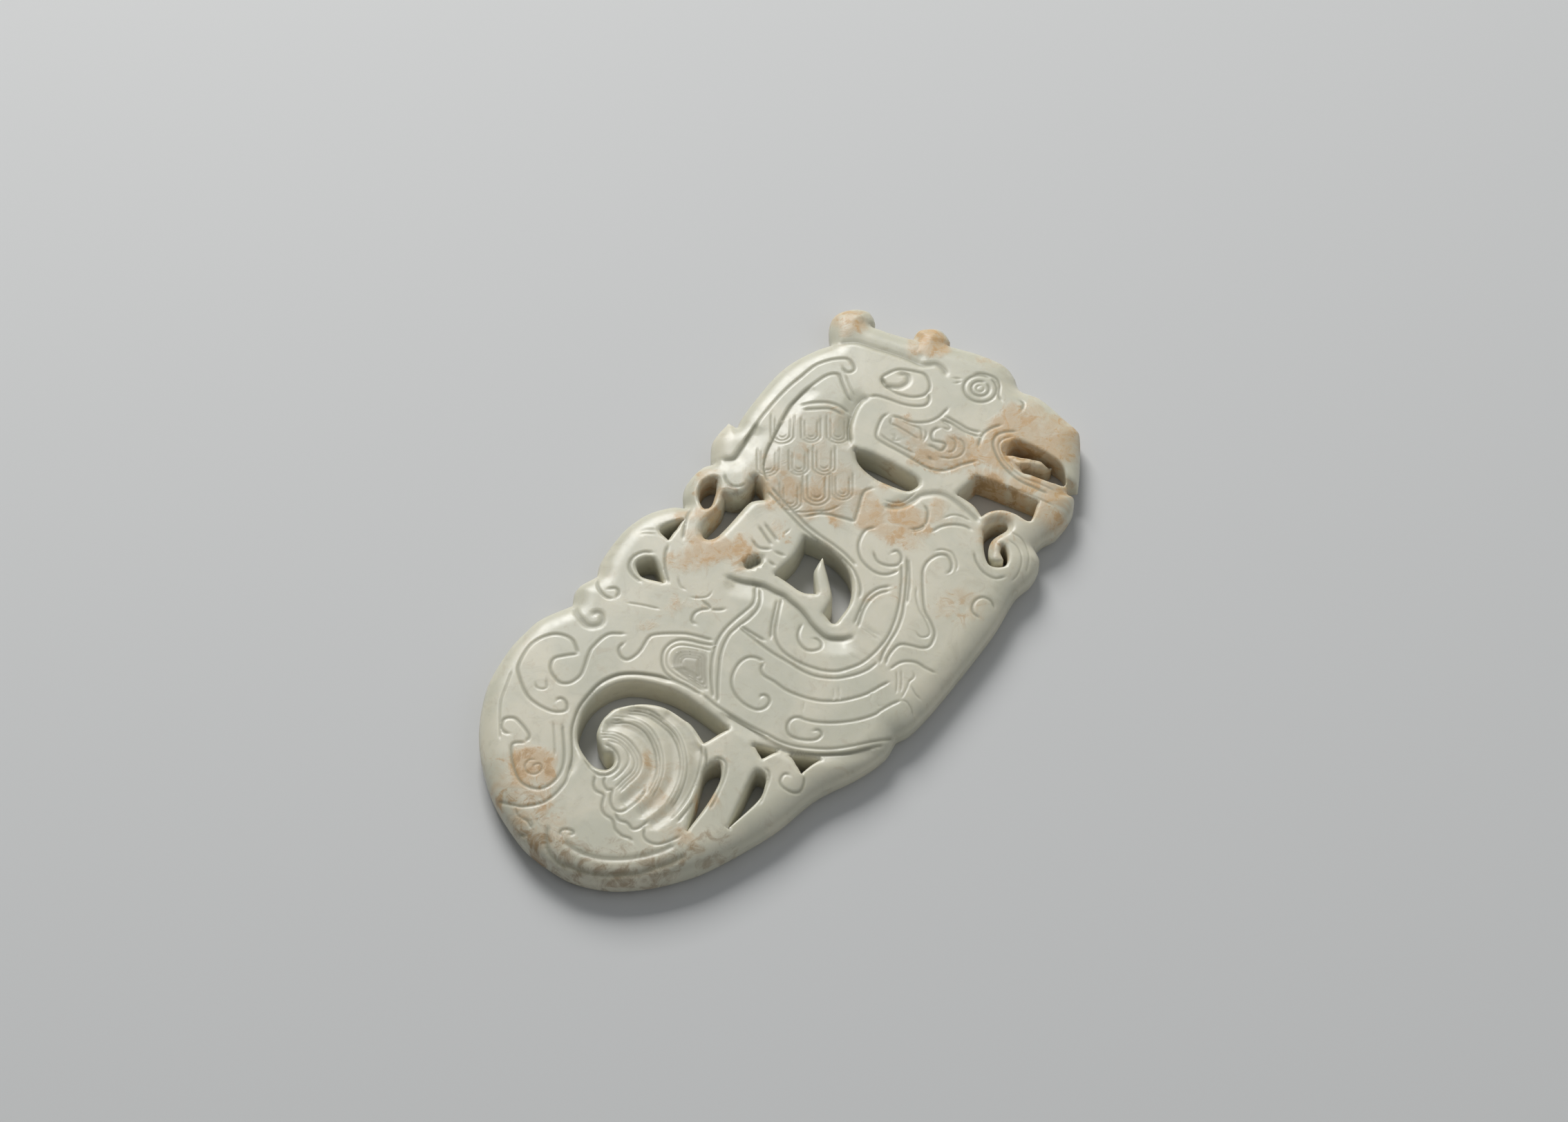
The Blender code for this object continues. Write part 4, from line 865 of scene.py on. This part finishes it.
def face_points(step, runs):
    """The rims' points, rows beside them and beside the carved lines, and a grid that fills the rest."""
    rims = np.vstack(RINGS)
    rows = rows_inside(OUTER, RIM_ROWS)
    for ring in RINGS[1:]:
        rows += rows_inside(ring, HOLE_ROWS)
    rows += line_rows(runs)
    fill = grid(step)
    fill = fill[on_stone(fill)]
    fill = fill[distance(fill, EDGE_TREE) > 0.6]
    placed = thinned(np.vstack([rims] + rows), CLOSEST, len(rims))
    fill = fill[distance(fill, tree_of([placed])) > 0.62 * step]
    return np.vstack([placed, fill]), len(rims)


def triangulated(points):
    """Places in plan, triangles, and the new number of each rim point."""
    edges, start = [], 0
    for ring in RINGS:
        edges += [(start + k, start + (k + 1) % len(ring)) for k in range(len(ring))]
        start += len(ring)
    made = delaunay_2d_cdt([Vector(p) for p in points], edges, [], 0, 1e-7, True)
    places = np.array([tuple(p) for p in made[0]])
    corners = np.array([tuple(f) for f in made[2]])
    number = {old: new for new, olds in enumerate(made[3]) for old in olds}
    return places, corners[on_stone(places[corners].mean(axis=1))], number


# %% Join the faces and walls
TOP_STEP, UNDER_STEP = 0.5, 1.1
WALL_CUTS = 3


def to_frame(places, heights):
    """Grid places and heights as points in the part's frame, in metres."""
    return np.column_stack([(places - MIDDLE) * UNIT + PLACE, heights * UNIT + STONE_LOW[2]])


def stone_mesh():
    """The uncarved stone: two faces and the walls between their rims."""
    top_points, rim_count = face_points(TOP_STEP, LINE_RUNS)
    under_points, _ = face_points(UNDER_STEP, BACK_RUNS)
    top_places, top_faces, top_number = triangulated(top_points)
    under_places, under_faces, under_number = triangulated(under_points)
    top_z, under_z = top_height(top_places), under_height(under_places)
    rims = np.vstack(RINGS)
    rim_top = np.array([top_z[top_number[k]] for k in range(rim_count)])
    rim_under = np.array([under_z[under_number[k]] for k in range(rim_count)])
    parts = [to_frame(top_places, top_z), to_frame(under_places, under_z)]
    levels = [[len(top_places) + under_number[k] for k in range(rim_count)]]
    for cut in range(1, WALL_CUTS):
        share = cut / WALL_CUTS
        start = sum(len(part) for part in parts)
        levels.append(list(range(start, start + rim_count)))
        parts.append(to_frame(rims, rim_under + (rim_top - rim_under) * share))
    levels.append([top_number[k] for k in range(rim_count)])
    faces = [tuple(f) for f in top_faces] + [tuple(len(top_places) + k for k in f[::-1]) for f in under_faces]
    start = 0
    for ring in RINGS:
        for k in range(len(ring)):
            a, b = start + k, start + (k + 1) % len(ring)
            faces += [(low[a], low[b], high[b], high[a]) for low, high in zip(levels[:-1], levels[1:])]
        start += len(ring)
    stone = add_mesh("jade_dragon_plaque", np.vstack(parts), faces=faces)
    first = 0
    for name, places in (("carved face", top_places), ("carved back", under_places)):
        carved = np.zeros(len(stone.data.vertices), dtype=np.float32)
        carved[first:first + len(places)] = ease((distance(places, EDGE_TREE) - 0.15) / 0.5)
        stone.data.attributes.new(name, "FLOAT", "POINT").data.foreach_set("value", carved)
        first += len(places)
    stone.data.attributes.new("groove", "FLOAT", "POINT")
    return stone


stone = stone_mesh()
print("Stone faces:", len(stone.data.polygons))

# %% [markdown]
# ## Cutting the lines
# A carved line is a path, and the cut is deepest on it. Geometry Nodes do this well: for each point of the stone they
# find the nearest place on any line, read how wide and deep that line's cut is, and lower the point by a rounded
# groove. The lines are a wire mesh in plan, so the search ignores height.

# %% The wire mesh of all lines
def line_wires(runs):
    """The given lines as one wire mesh in plan."""
    vertices, edges, widths, depths = [], [], [], []
    for (width, depth), run in runs:
        start = len(vertices)
        vertices += [tuple(p) for p in to_frame(run, np.full(len(run), -STONE_LOW[2] / UNIT))]
        edges += [(start + k, start + k + 1) for k in range(len(run) - 1)]
        ends = ease((np.minimum(np.arange(len(run)), np.arange(len(run))[::-1]) + 1.5) * LINE_STEP / 1.5)
        widths += list(width * UNIT * (0.6 + 0.4 * ends))
        depths += list(depth * UNIT * ends)
    wires = add_mesh("line wires", vertices, edges=edges)
    for name, values in (("half_width", widths), ("depth", depths)):
        wires.data.attributes.new(name, "FLOAT", "POINT").data.foreach_set("value", values)
    return wires


# %% The tree that carves
def carving_tree():
    tree, entry = new_tree("Carve lines", [("Lines", "NodeSocketObject"), ("Side", "NodeSocketString"),
                                           ("Depth", "NodeSocketFloat"), ("Shade", "NodeSocketFloat"),
                                           ("Stone", "NodeSocketMaterial")])
    lines = add_node(tree, "GeometryNodeObjectInfo", {"Object": entry["Lines"]}).outputs["Geometry"]
    place = add_node(tree, "GeometryNodeInputPosition").outputs[0]
    flat = add_node(tree, "ShaderNodeVectorMath", {0: place, 1: (1, 1, 0)}, operation="MULTIPLY").outputs[0]
    near = add_node(tree, "GeometryNodeProximity", {0: lines, "Sample Position": flat}, target_element="EDGES")
    which = add_node(tree, "GeometryNodeSampleNearest", {"Geometry": lines, "Sample Position": flat})

    def of_line(name):
        named = add_node(tree, "GeometryNodeInputNamedAttribute", {"Name": name}, data_type="FLOAT")
        return add_node(tree, "GeometryNodeSampleIndex", {"Geometry": lines, "Value": named.outputs[0],
                                                          "Index": which.outputs[0]}).outputs[0]

    def math_of(operation, a, b, clamp=False):
        return add_node(tree, "ShaderNodeMath", {0: a, 1: b}, operation=operation, use_clamp=clamp).outputs[0]

    away = math_of("DIVIDE", near.outputs["Distance"], of_line("half_width"))
    close = math_of("SUBTRACT", 1.0, math_of("MULTIPLY", away, away), clamp=True)
    bowl = math_of("MULTIPLY", close, close)
    carved = add_node(tree, "GeometryNodeInputNamedAttribute", {"Name": entry["Side"]}, data_type="FLOAT").outputs[0]
    cut = math_of("MULTIPLY", math_of("MULTIPLY", bowl, carved), of_line("depth"))
    fall = math_of("MULTIPLY", cut, entry["Depth"])
    down = add_node(tree, "ShaderNodeCombineXYZ", {"Z": math_of("MULTIPLY", fall, -1.0)}).outputs[0]
    earlier = add_node(tree, "GeometryNodeInputNamedAttribute", {"Name": "groove"}, data_type="FLOAT").outputs[0]
    groove = math_of("ADD", earlier, math_of("MULTIPLY", math_of("DIVIDE", fall, LINE[1] * UNIT), entry["Shade"]))
    kept = add_node(tree, "GeometryNodeStoreNamedAttribute", {"Geometry": entry["Geometry"], "Name": "groove",
                                                              "Value": groove},
                    data_type="FLOAT", domain="POINT")
    moved = add_node(tree, "GeometryNodeSetPosition", {"Geometry": kept.outputs[0], "Offset": down})
    real = add_node(tree, "GeometryNodeRealizeInstances", {0: moved.outputs[0]})
    done = add_node(tree, "GeometryNodeSetMaterial", {"Geometry": real.outputs[0], "Material": entry["Stone"]})
    add_node(tree, "NodeGroupOutput", {0: done.outputs[0]})
    return tree


# %% [markdown]
# ## The stone's colours
# Nephrite is never one colour. It is pale green-grey with cream clouds, and where the pebble was cracked or porous,
# iron has stained it tan and russet. The clouds are noise. The stains have real places, so each one is a spot with a
# size and a strength, kept as an attribute on the points, and noise only frays its edge. A few brown spots along the
# lower-left rim are no stain but painted shade, where the rim falls away from the light.

# %% Where the stains are
# x, y, radius and strength of each spot
TAN_SPOTS = [
    (-63, 16, 6, 0.9), (-66, 20, 5, 0.35), (-70, 12, 6, 0.5), (-73, 4, 6, 0.4), (-71, 18, 5, 0.4),
    (-52, -6, 6, 0.35), (-47, -3, 4, 0.35), (-57, -13, 5, 0.25), (-56, -19, 4, 0.5), (-46, -17, 3, 0.6),
    (-37, -12, 3, 0.25), (-22, 19, 3, 0.45), (-16, 18, 3, 0.4), (-11, 15, 4, 0.25), (-2, 22, 6, 0.7),
    (2, 17, 5, 0.75), (6, 14, 3, 0.55), (-6, 24, 4, 0.5), (12, 12, 3, 0.45), (8, 27, 6, 0.35),
    (20, 17, 5, 0.75), (24, 12, 5, 0.9), (28, 8, 4, 0.8), (22, 22, 5, 0.55), (27, 20, 6, 0.35),
    (31, 16, 5, 0.4), (30, 3, 4, 0.6), (26, -4, 4, 0.8), (32, -6, 5, 0.85), (36, -10, 4, 0.6),
    (29, -10, 4, 0.5), (46, 0, 4, 0.9), (50, -3, 5, 0.75), (54, -7, 5, 0.8), (50, 9, 3, 0.5),
    (60, -12, 7, 0.85), (68, -11, 6, 0.55), (66, -18, 7, 0.7), (57, -22, 6, 0.7), (48, -13, 5, 0.75),
    (52, -27, 6, 0.55), (45, -20, 5, 0.6), (40, -21, 4, 0.45), (64, 33, 4, 0.6), (71, 18, 5, 0.75),
    (67, 20, 4, 0.5), (74, 6, 3, 0.4), (19, -26, 5, 0.35), (22, -30, 4, 0.3), (17, -16, 4, 0.25),
    (-4, -20, 3, 0.15), (14, -13, 3, 0.3), (7, 27, 4, 0.65), (11, 29, 4, 0.6), (4, 30, 3, 0.5),
    (12, 33, 4, 0.5), (48, -14, 5, 0.9), (37, 2, 4, 0.5), (66, -8, 5, 0.6), (70, -17, 5, 0.65), (62, -8, 5, 0.8),
    (56, -12, 5, 0.8), (72.1, 19.2, 4, 0.9), (69.3, 17, 3.5, 0.7), (52, -20, 5, 0.8), (56, -27, 5, 0.6),
    (20, 22, 6, 0.5), (30, 13, 6, 0.6), (22, 15, 6, 0.8), (25, 9, 5, 0.85), (63, -14, 7, 0.8),
    (58, -9, 5, 0.7), (47, 4, 4, 0.6), (28, -7, 4, 0.6), (39, 21, 5, 0.35), (64, 37, 4, 0.5), (68, 22, 3, 0.5),
    (34, 20, 7, 0.35), (38, -24, 4, 0.45), (27, -1, 5, 0.7),
]
# brown stains in cracks, and painted shade: a brown-grey veil along the lower-left rim, which falls away from the
# light
BROWN_STAIN_AND_RIM_SHADE_SPOTS = [
    (14.5, 25.8, 3, 0.4), (12.5, 29.5, 3, 0.3), (37, 6, 3.5, 0.3), (48, -13, 4, 0.35), (2.6, 12.6, 2.2, 0.35),
    (36.5, 4, 3, 0.2), (59, -17, 4, 0.4),
    (50, -18, 3, 0.4), (-63, 16, 4, 0.35), (44, -1, 2, 0.25), (24, 12, 2.5, 0.2), (-73, 7, 4, 0.4),
    (-70, 13, 5, 0.3), (-74, 0, 4, 0.35), (-71, -6, 3, 0.3), (-56, -18, 2.5, 0.3), (46, -18, 3, 0.4),
    # from (-75, -4) on, the spots are painted shade along the lower-left rim, not stains
    (61, -23, 2.5, 0.35), (57, -20, 2, 0.3), (-75, -4, 6, 0.55), (-72, -11, 6, 0.55), (-66, -17, 6, 0.5),
    (-59, -21, 5, 0.45), (-52, -24, 4, 0.35), (-76, 4, 5, 0.5), (-67, -9, 4, 0.28), (-74, 12, 4, 0.35),
]
# strength and outline of each ground that was left matt between lines
NECK_GROUND = [(18.0, 11.0), (20.7, 8.9), (22.5, 5.4), (23.8, 2.6), (30.8, 5.1), (35.2, 5.5), (35.9, 10.5),
               (38.0, 13.2), (40.3, 16.6), (44.4, 19.4), (43.0, 23.4), (38.9, 28.2), (34.0, 29.4), (25.9, 27.0),
               (21.2, 24.1), (19.0, 20.4), (17.3, 17.0), (16.8, 13.0)]
CHEEK_GROUND = [(47.9, 13.4), (43.6, 11.4), (43.4, 9.2), (44.1, 1.3), (45.5, -3.9), (49.2, -6.2), (52.4, -6.6),
                (56.0, -2.0), (56.5, 3.7), (53.2, 5.1), (50.2, 9.1), (49.2, 12.5)]
PANELS = [(1.0, THIGH_PANEL), (0.45, NECK_GROUND), (0.4, CHEEK_GROUND)]


def spot_field(places, spots):
    """The strongest spot at each place, from 0 to 1, with wandering edges."""
    field = np.zeros(len(places))
    wander = np.array([[noise.noise((x * 0.22, y * 0.22, layer)) for layer in (3.1, 17.7)] for x, y in places])
    moved = places + 3.2 * wander
    for x, y, radius, strength in spots:
        away = np.linalg.norm(moved - (x, y), axis=1) / radius
        field = np.maximum(field, strength * (1 - ease((away - 0.35) / 0.9)))
    return field


def paint_spots(stone):
    count = len(stone.data.vertices)
    flat = np.empty(count * 3)
    stone.data.vertices.foreach_get("co", flat)
    points = flat.reshape(-1, 3)
    places = (points[:, :2] - PLACE) / UNIT + MIDDLE
    upper = points[:, 2] > (STONE_LOW[2] + STONE_HIGH[2]) / 2
    fields = {"tan": spot_field(places, TAN_SPOTS), "brown_and_rim_shade": spot_field(places, BROWN_STAIN_AND_RIM_SHADE_SPOTS)}
    grounds = [strength * inside(places, np.array(ring)) for strength, ring in PANELS]
    fields["panel"] = upper * np.max(grounds, axis=0)
    for name, field in fields.items():
        stone.data.attributes.new(name, "FLOAT", "POINT").data.foreach_set("value", field.astype(np.float32))


paint_spots(stone)

# %% [markdown]
# The shader reads those fields. A polished jade surface is waxy, so it has a clear but soft gloss, and light goes
# a little way into the stone before it comes back. That last part is subsurface scattering with a radius of a few
# millimetres, which is what keeps thin strands from looking like painted plaster.

# %% The jade
CELADON = (0.60, 0.583, 0.465, 1)
CREAM = (0.69, 0.65, 0.515, 1)
GREEN_GREY = (0.46, 0.468, 0.375, 1)
TAN = (0.60, 0.45, 0.275, 1)
PEACH = (0.58, 0.37, 0.165, 1)
BROWN_STAIN_AND_SHADE = (0.28, 0.18, 0.085, 1)
PANEL_SHADE = (0.42, 0.395, 0.30, 1)
# the grooves' colour: partly the grey-green that the cuts hold, partly painted shade in the grooves
GROOVE_SHADE = (0.29, 0.28, 0.19, 1)


def mixed(tree, factor, a, b, blend="MIX"):
    node = add_node(tree, "ShaderNodeMix", {0: factor, 6: a, 7: b}, data_type="RGBA", blend_type=blend)
    return node.outputs[2]


def noise_of(tree, coords, scale, detail=4.0, rough=0.55, warp=0.0):
    node = add_node(tree, "ShaderNodeTexNoise", {"Vector": coords, "Scale": scale, "Detail": detail,
                                                 "Roughness": rough, "Distortion": warp})
    return node.outputs["Fac"]


def ramp(tree, value, low, high, to_low=0.0, to_high=1.0):
    node = add_node(tree, "ShaderNodeMapRange", {"Value": value, "From Min": low, "From Max": high,
                                                 "To Min": to_low, "To Max": to_high},
                    interpolation_type="SMOOTHSTEP")
    return node.outputs[0]


def math_in(tree, operation, a, b, clamp=False):
    return add_node(tree, "ShaderNodeMath", {0: a, 1: b}, operation=operation, use_clamp=clamp).outputs[0]


def jade_material():
    material = bpy.data.materials.new("jade")
    material.use_nodes = True
    tree = material.node_tree
    shader = tree.nodes["Principled BSDF"]
    coords = add_node(tree, "ShaderNodeTexCoord").outputs["Object"]
    field = {name: add_node(tree, "ShaderNodeAttribute", attribute_name=name).outputs["Fac"]
             for name in ("tan", "brown_and_rim_shade", "panel", "groove")}
    clouds = noise_of(tree, coords, 60, 5, 0.6, 0.6)
    flecks = noise_of(tree, coords, 420, 6, 0.65)
    veins = noise_of(tree, coords, 160, 8, 0.7, 1.2)
    colour = mixed(tree, ramp(tree, clouds, 0.38, 0.66), CELADON, CREAM)
    colour = mixed(tree, ramp(tree, veins, 0.5, 0.72, 0.0, 0.35), colour, GREEN_GREY)
    mottle = noise_of(tree, coords, 300, 7, 0.7, 0.8)
    soft = math_in(tree, "ADD", field["tan"], ramp(tree, veins, 0.3, 0.7, -0.3, 0.22))
    stain = ramp(tree, soft, 0.05, 0.85)
    colour = mixed(tree, math_in(tree, "MULTIPLY", stain, 0.9), colour, TAN)
    spots = math_in(tree, "ADD", math_in(tree, "MULTIPLY", field["tan"], 0.75), ramp(tree, mottle, 0.35, 0.65, -0.5, 0.5))
    spots = ramp(tree, spots, 0.42, 0.98)
    colour = mixed(tree, math_in(tree, "MULTIPLY", spots, 0.8), colour, PEACH)
    colour = mixed(tree, math_in(tree, "MULTIPLY", field["panel"], 0.8), colour, PANEL_SHADE)
    # brown stains, and on the lower-left rim painted shade, darken the colour
    stain_and_rim_shade = math_in(tree, "ADD", field["brown_and_rim_shade"], ramp(tree, mottle, 0.35, 0.65, -0.35, 0.35))
    colour = mixed(tree, math_in(tree, "MULTIPLY", ramp(tree, stain_and_rim_shade, 0.15, 1.0), 0.75), colour, BROWN_STAIN_AND_SHADE)
    # painted shade in the grooves, darker than the lighting alone shades them, mixed with the grey-green the cuts hold
    in_groove = ramp(tree, field["groove"], 0.05, 1.2, 0.0, 0.72)
    colour = mixed(tree, in_groove, colour, GROOVE_SHADE)
    tree.links.new(colour, shader.inputs["Base Color"])
    rough = math_in(tree, "ADD", ramp(tree, flecks, 0.3, 0.7, 0.30, 0.40), math_in(tree, "MULTIPLY", stain, 0.14))
    rough = math_in(tree, "ADD", rough, math_in(tree, "MULTIPLY", in_groove, 0.25), clamp=True)
    tree.links.new(rough, shader.inputs["Roughness"])
    pores = math_in(tree, "ADD", math_in(tree, "MULTIPLY", flecks, math_in(tree, "ADD", stain, 0.12)),
                    math_in(tree, "MULTIPLY", clouds, 0.4))
    bump = add_node(tree, "ShaderNodeBump", {"Height": pores, "Strength": 0.22, "Distance": 0.0004})
    tree.links.new(bump.outputs[0], shader.inputs["Normal"])
    shader.inputs["Subsurface Weight"].default_value = 0.5
    shader.inputs["Subsurface Radius"].default_value = (1.0, 0.95, 0.75)
    shader.inputs["Subsurface Scale"].default_value = 0.0016
    shader.inputs["IOR"].default_value = 1.6
    shader.inputs["Specular IOR Level"].default_value = 0.4
    return material


jade = jade_material()

# %% Carve the stone
# wide cuts first, then the narrow ones inside them; the second number is how much shade each leaves
FACE_ROUNDS = [((SCOOP,), 0.15), ((FURROW,), 0.15), ((BROAD,), 0.6), ((LINE, FINE, HAIR), 1.0)]
CUT_ROUNDS = [("carved face", [line for line in LINE_RUNS if line[0] in cuts], 1.0, shade)
              for cuts, shade in FACE_ROUNDS]
# on the back a cut goes up into the stone, so its depth counts the other way
CUT_ROUNDS.append(("carved back", BACK_RUNS, -1.0, -0.6))


def finish_stone(stone):
    tree = carving_tree()
    for side, runs, depth, shade in CUT_ROUNDS:
        wires = line_wires(runs)
        stone.data = run_tree(stone, tree, {"Lines": wires, "Side": side, "Depth": depth, "Shade": shade,
                                            "Stone": jade})
        bpy.data.objects.remove(wires)
    if not stone.data.materials:
        stone.data.materials.append(jade)
    stone.data.shade_smooth()
    return stone


stone = finish_stone(stone)
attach(stone, "root")
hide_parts(NODE)
print("Carved stone triangles:", sum(len(face.vertices) - 2 for face in stone.data.polygons))

# %% [markdown]
# ## The stage
# The plaque lies on a plain pale floor. A low, wide light from the upper left rakes across the relief, because light
# from straight above would flatten it, and a weak one from the right opens the shadows.

# %% Floor and lights
FLOOR_SIZE = 4.0
FLOOR_GAP = 0.02 * MM
FLOOR_COLOUR = (0.62, 0.62, 0.61, 1)


def add_floor():
    half = FLOOR_SIZE / 2
    level = STONE_LOW[2] - FLOOR_GAP
    corners = [(-half, -half, level), (half, -half, level), (half, half, level), (-half, half, level)]
    floor = add_mesh("floor", corners, faces=[(0, 1, 2, 3)])
    material = bpy.data.materials.new("floor")
    material.use_nodes = True
    shader = material.node_tree.nodes["Principled BSDF"]
    shader.inputs["Base Color"].default_value = FLOOR_COLOUR
    shader.inputs["Roughness"].default_value = 0.7
    floor.data.materials.append(material)


CAMERA_TURN = math.radians(51)
CAMERA_RIGHT = Vector((math.cos(CAMERA_TURN), -math.sin(CAMERA_TURN), 0))
CAMERA_AHEAD = Vector((math.sin(CAMERA_TURN), math.cos(CAMERA_TURN), 0))


def add_light(name, across, ahead, height, size, power):
    """A square light, placed by how far it is across and ahead of the plaque as the camera sees it."""
    data = bpy.data.lights.new(name, "AREA")
    data.size = size
    data.energy = power
    light = bpy.data.objects.new(name, data)
    light.location = CAMERA_RIGHT * across + CAMERA_AHEAD * ahead + Vector((0, 0, height))
    light.rotation_euler = (-light.location).to_track_quat("-Z", "Y").to_euler()
    bpy.context.scene.collection.objects.link(light)


def add_world(strength):
    world = bpy.data.worlds.new("soft sky")
    world.use_nodes = True
    background = world.node_tree.nodes["Background"]
    background.inputs["Color"].default_value = (0.9, 0.95, 1.0, 1)
    background.inputs["Strength"].default_value = strength
    bpy.context.scene.world = world


add_floor()
add_light("key", -0.3, 1.15, 0.9, 0.7, 20)
add_light("fill", 0.9, -0.3, 0.8, 1.0, 1.5)
add_world(0.24)
bpy.context.scene.view_settings.view_transform = "Standard"

# %% Camera
CAMERA_ELEVATION = math.radians(58)
CAMERA_DISTANCE = 0.9043
CAMERA_LENS = 100
AIM = (7.25, 6.25)


def add_camera():
    data = bpy.data.cameras.new("camera")
    data.lens = CAMERA_LENS
    data.sensor_width = 36
    camera = bpy.data.objects.new("camera", data)
    target = Vector((PLACE[0] + AIM[0] * UNIT, PLACE[1] + AIM[1] * UNIT, STONE_HIGH[2]))
    back = CAMERA_AHEAD * -math.cos(CAMERA_ELEVATION) + Vector((0, 0, math.sin(CAMERA_ELEVATION)))
    camera.location = target + back * CAMERA_DISTANCE
    camera.rotation_euler = (-back).to_track_quat("-Z", "Y").to_euler()
    bpy.context.scene.collection.objects.link(camera)
    bpy.context.scene.camera = camera


add_camera()
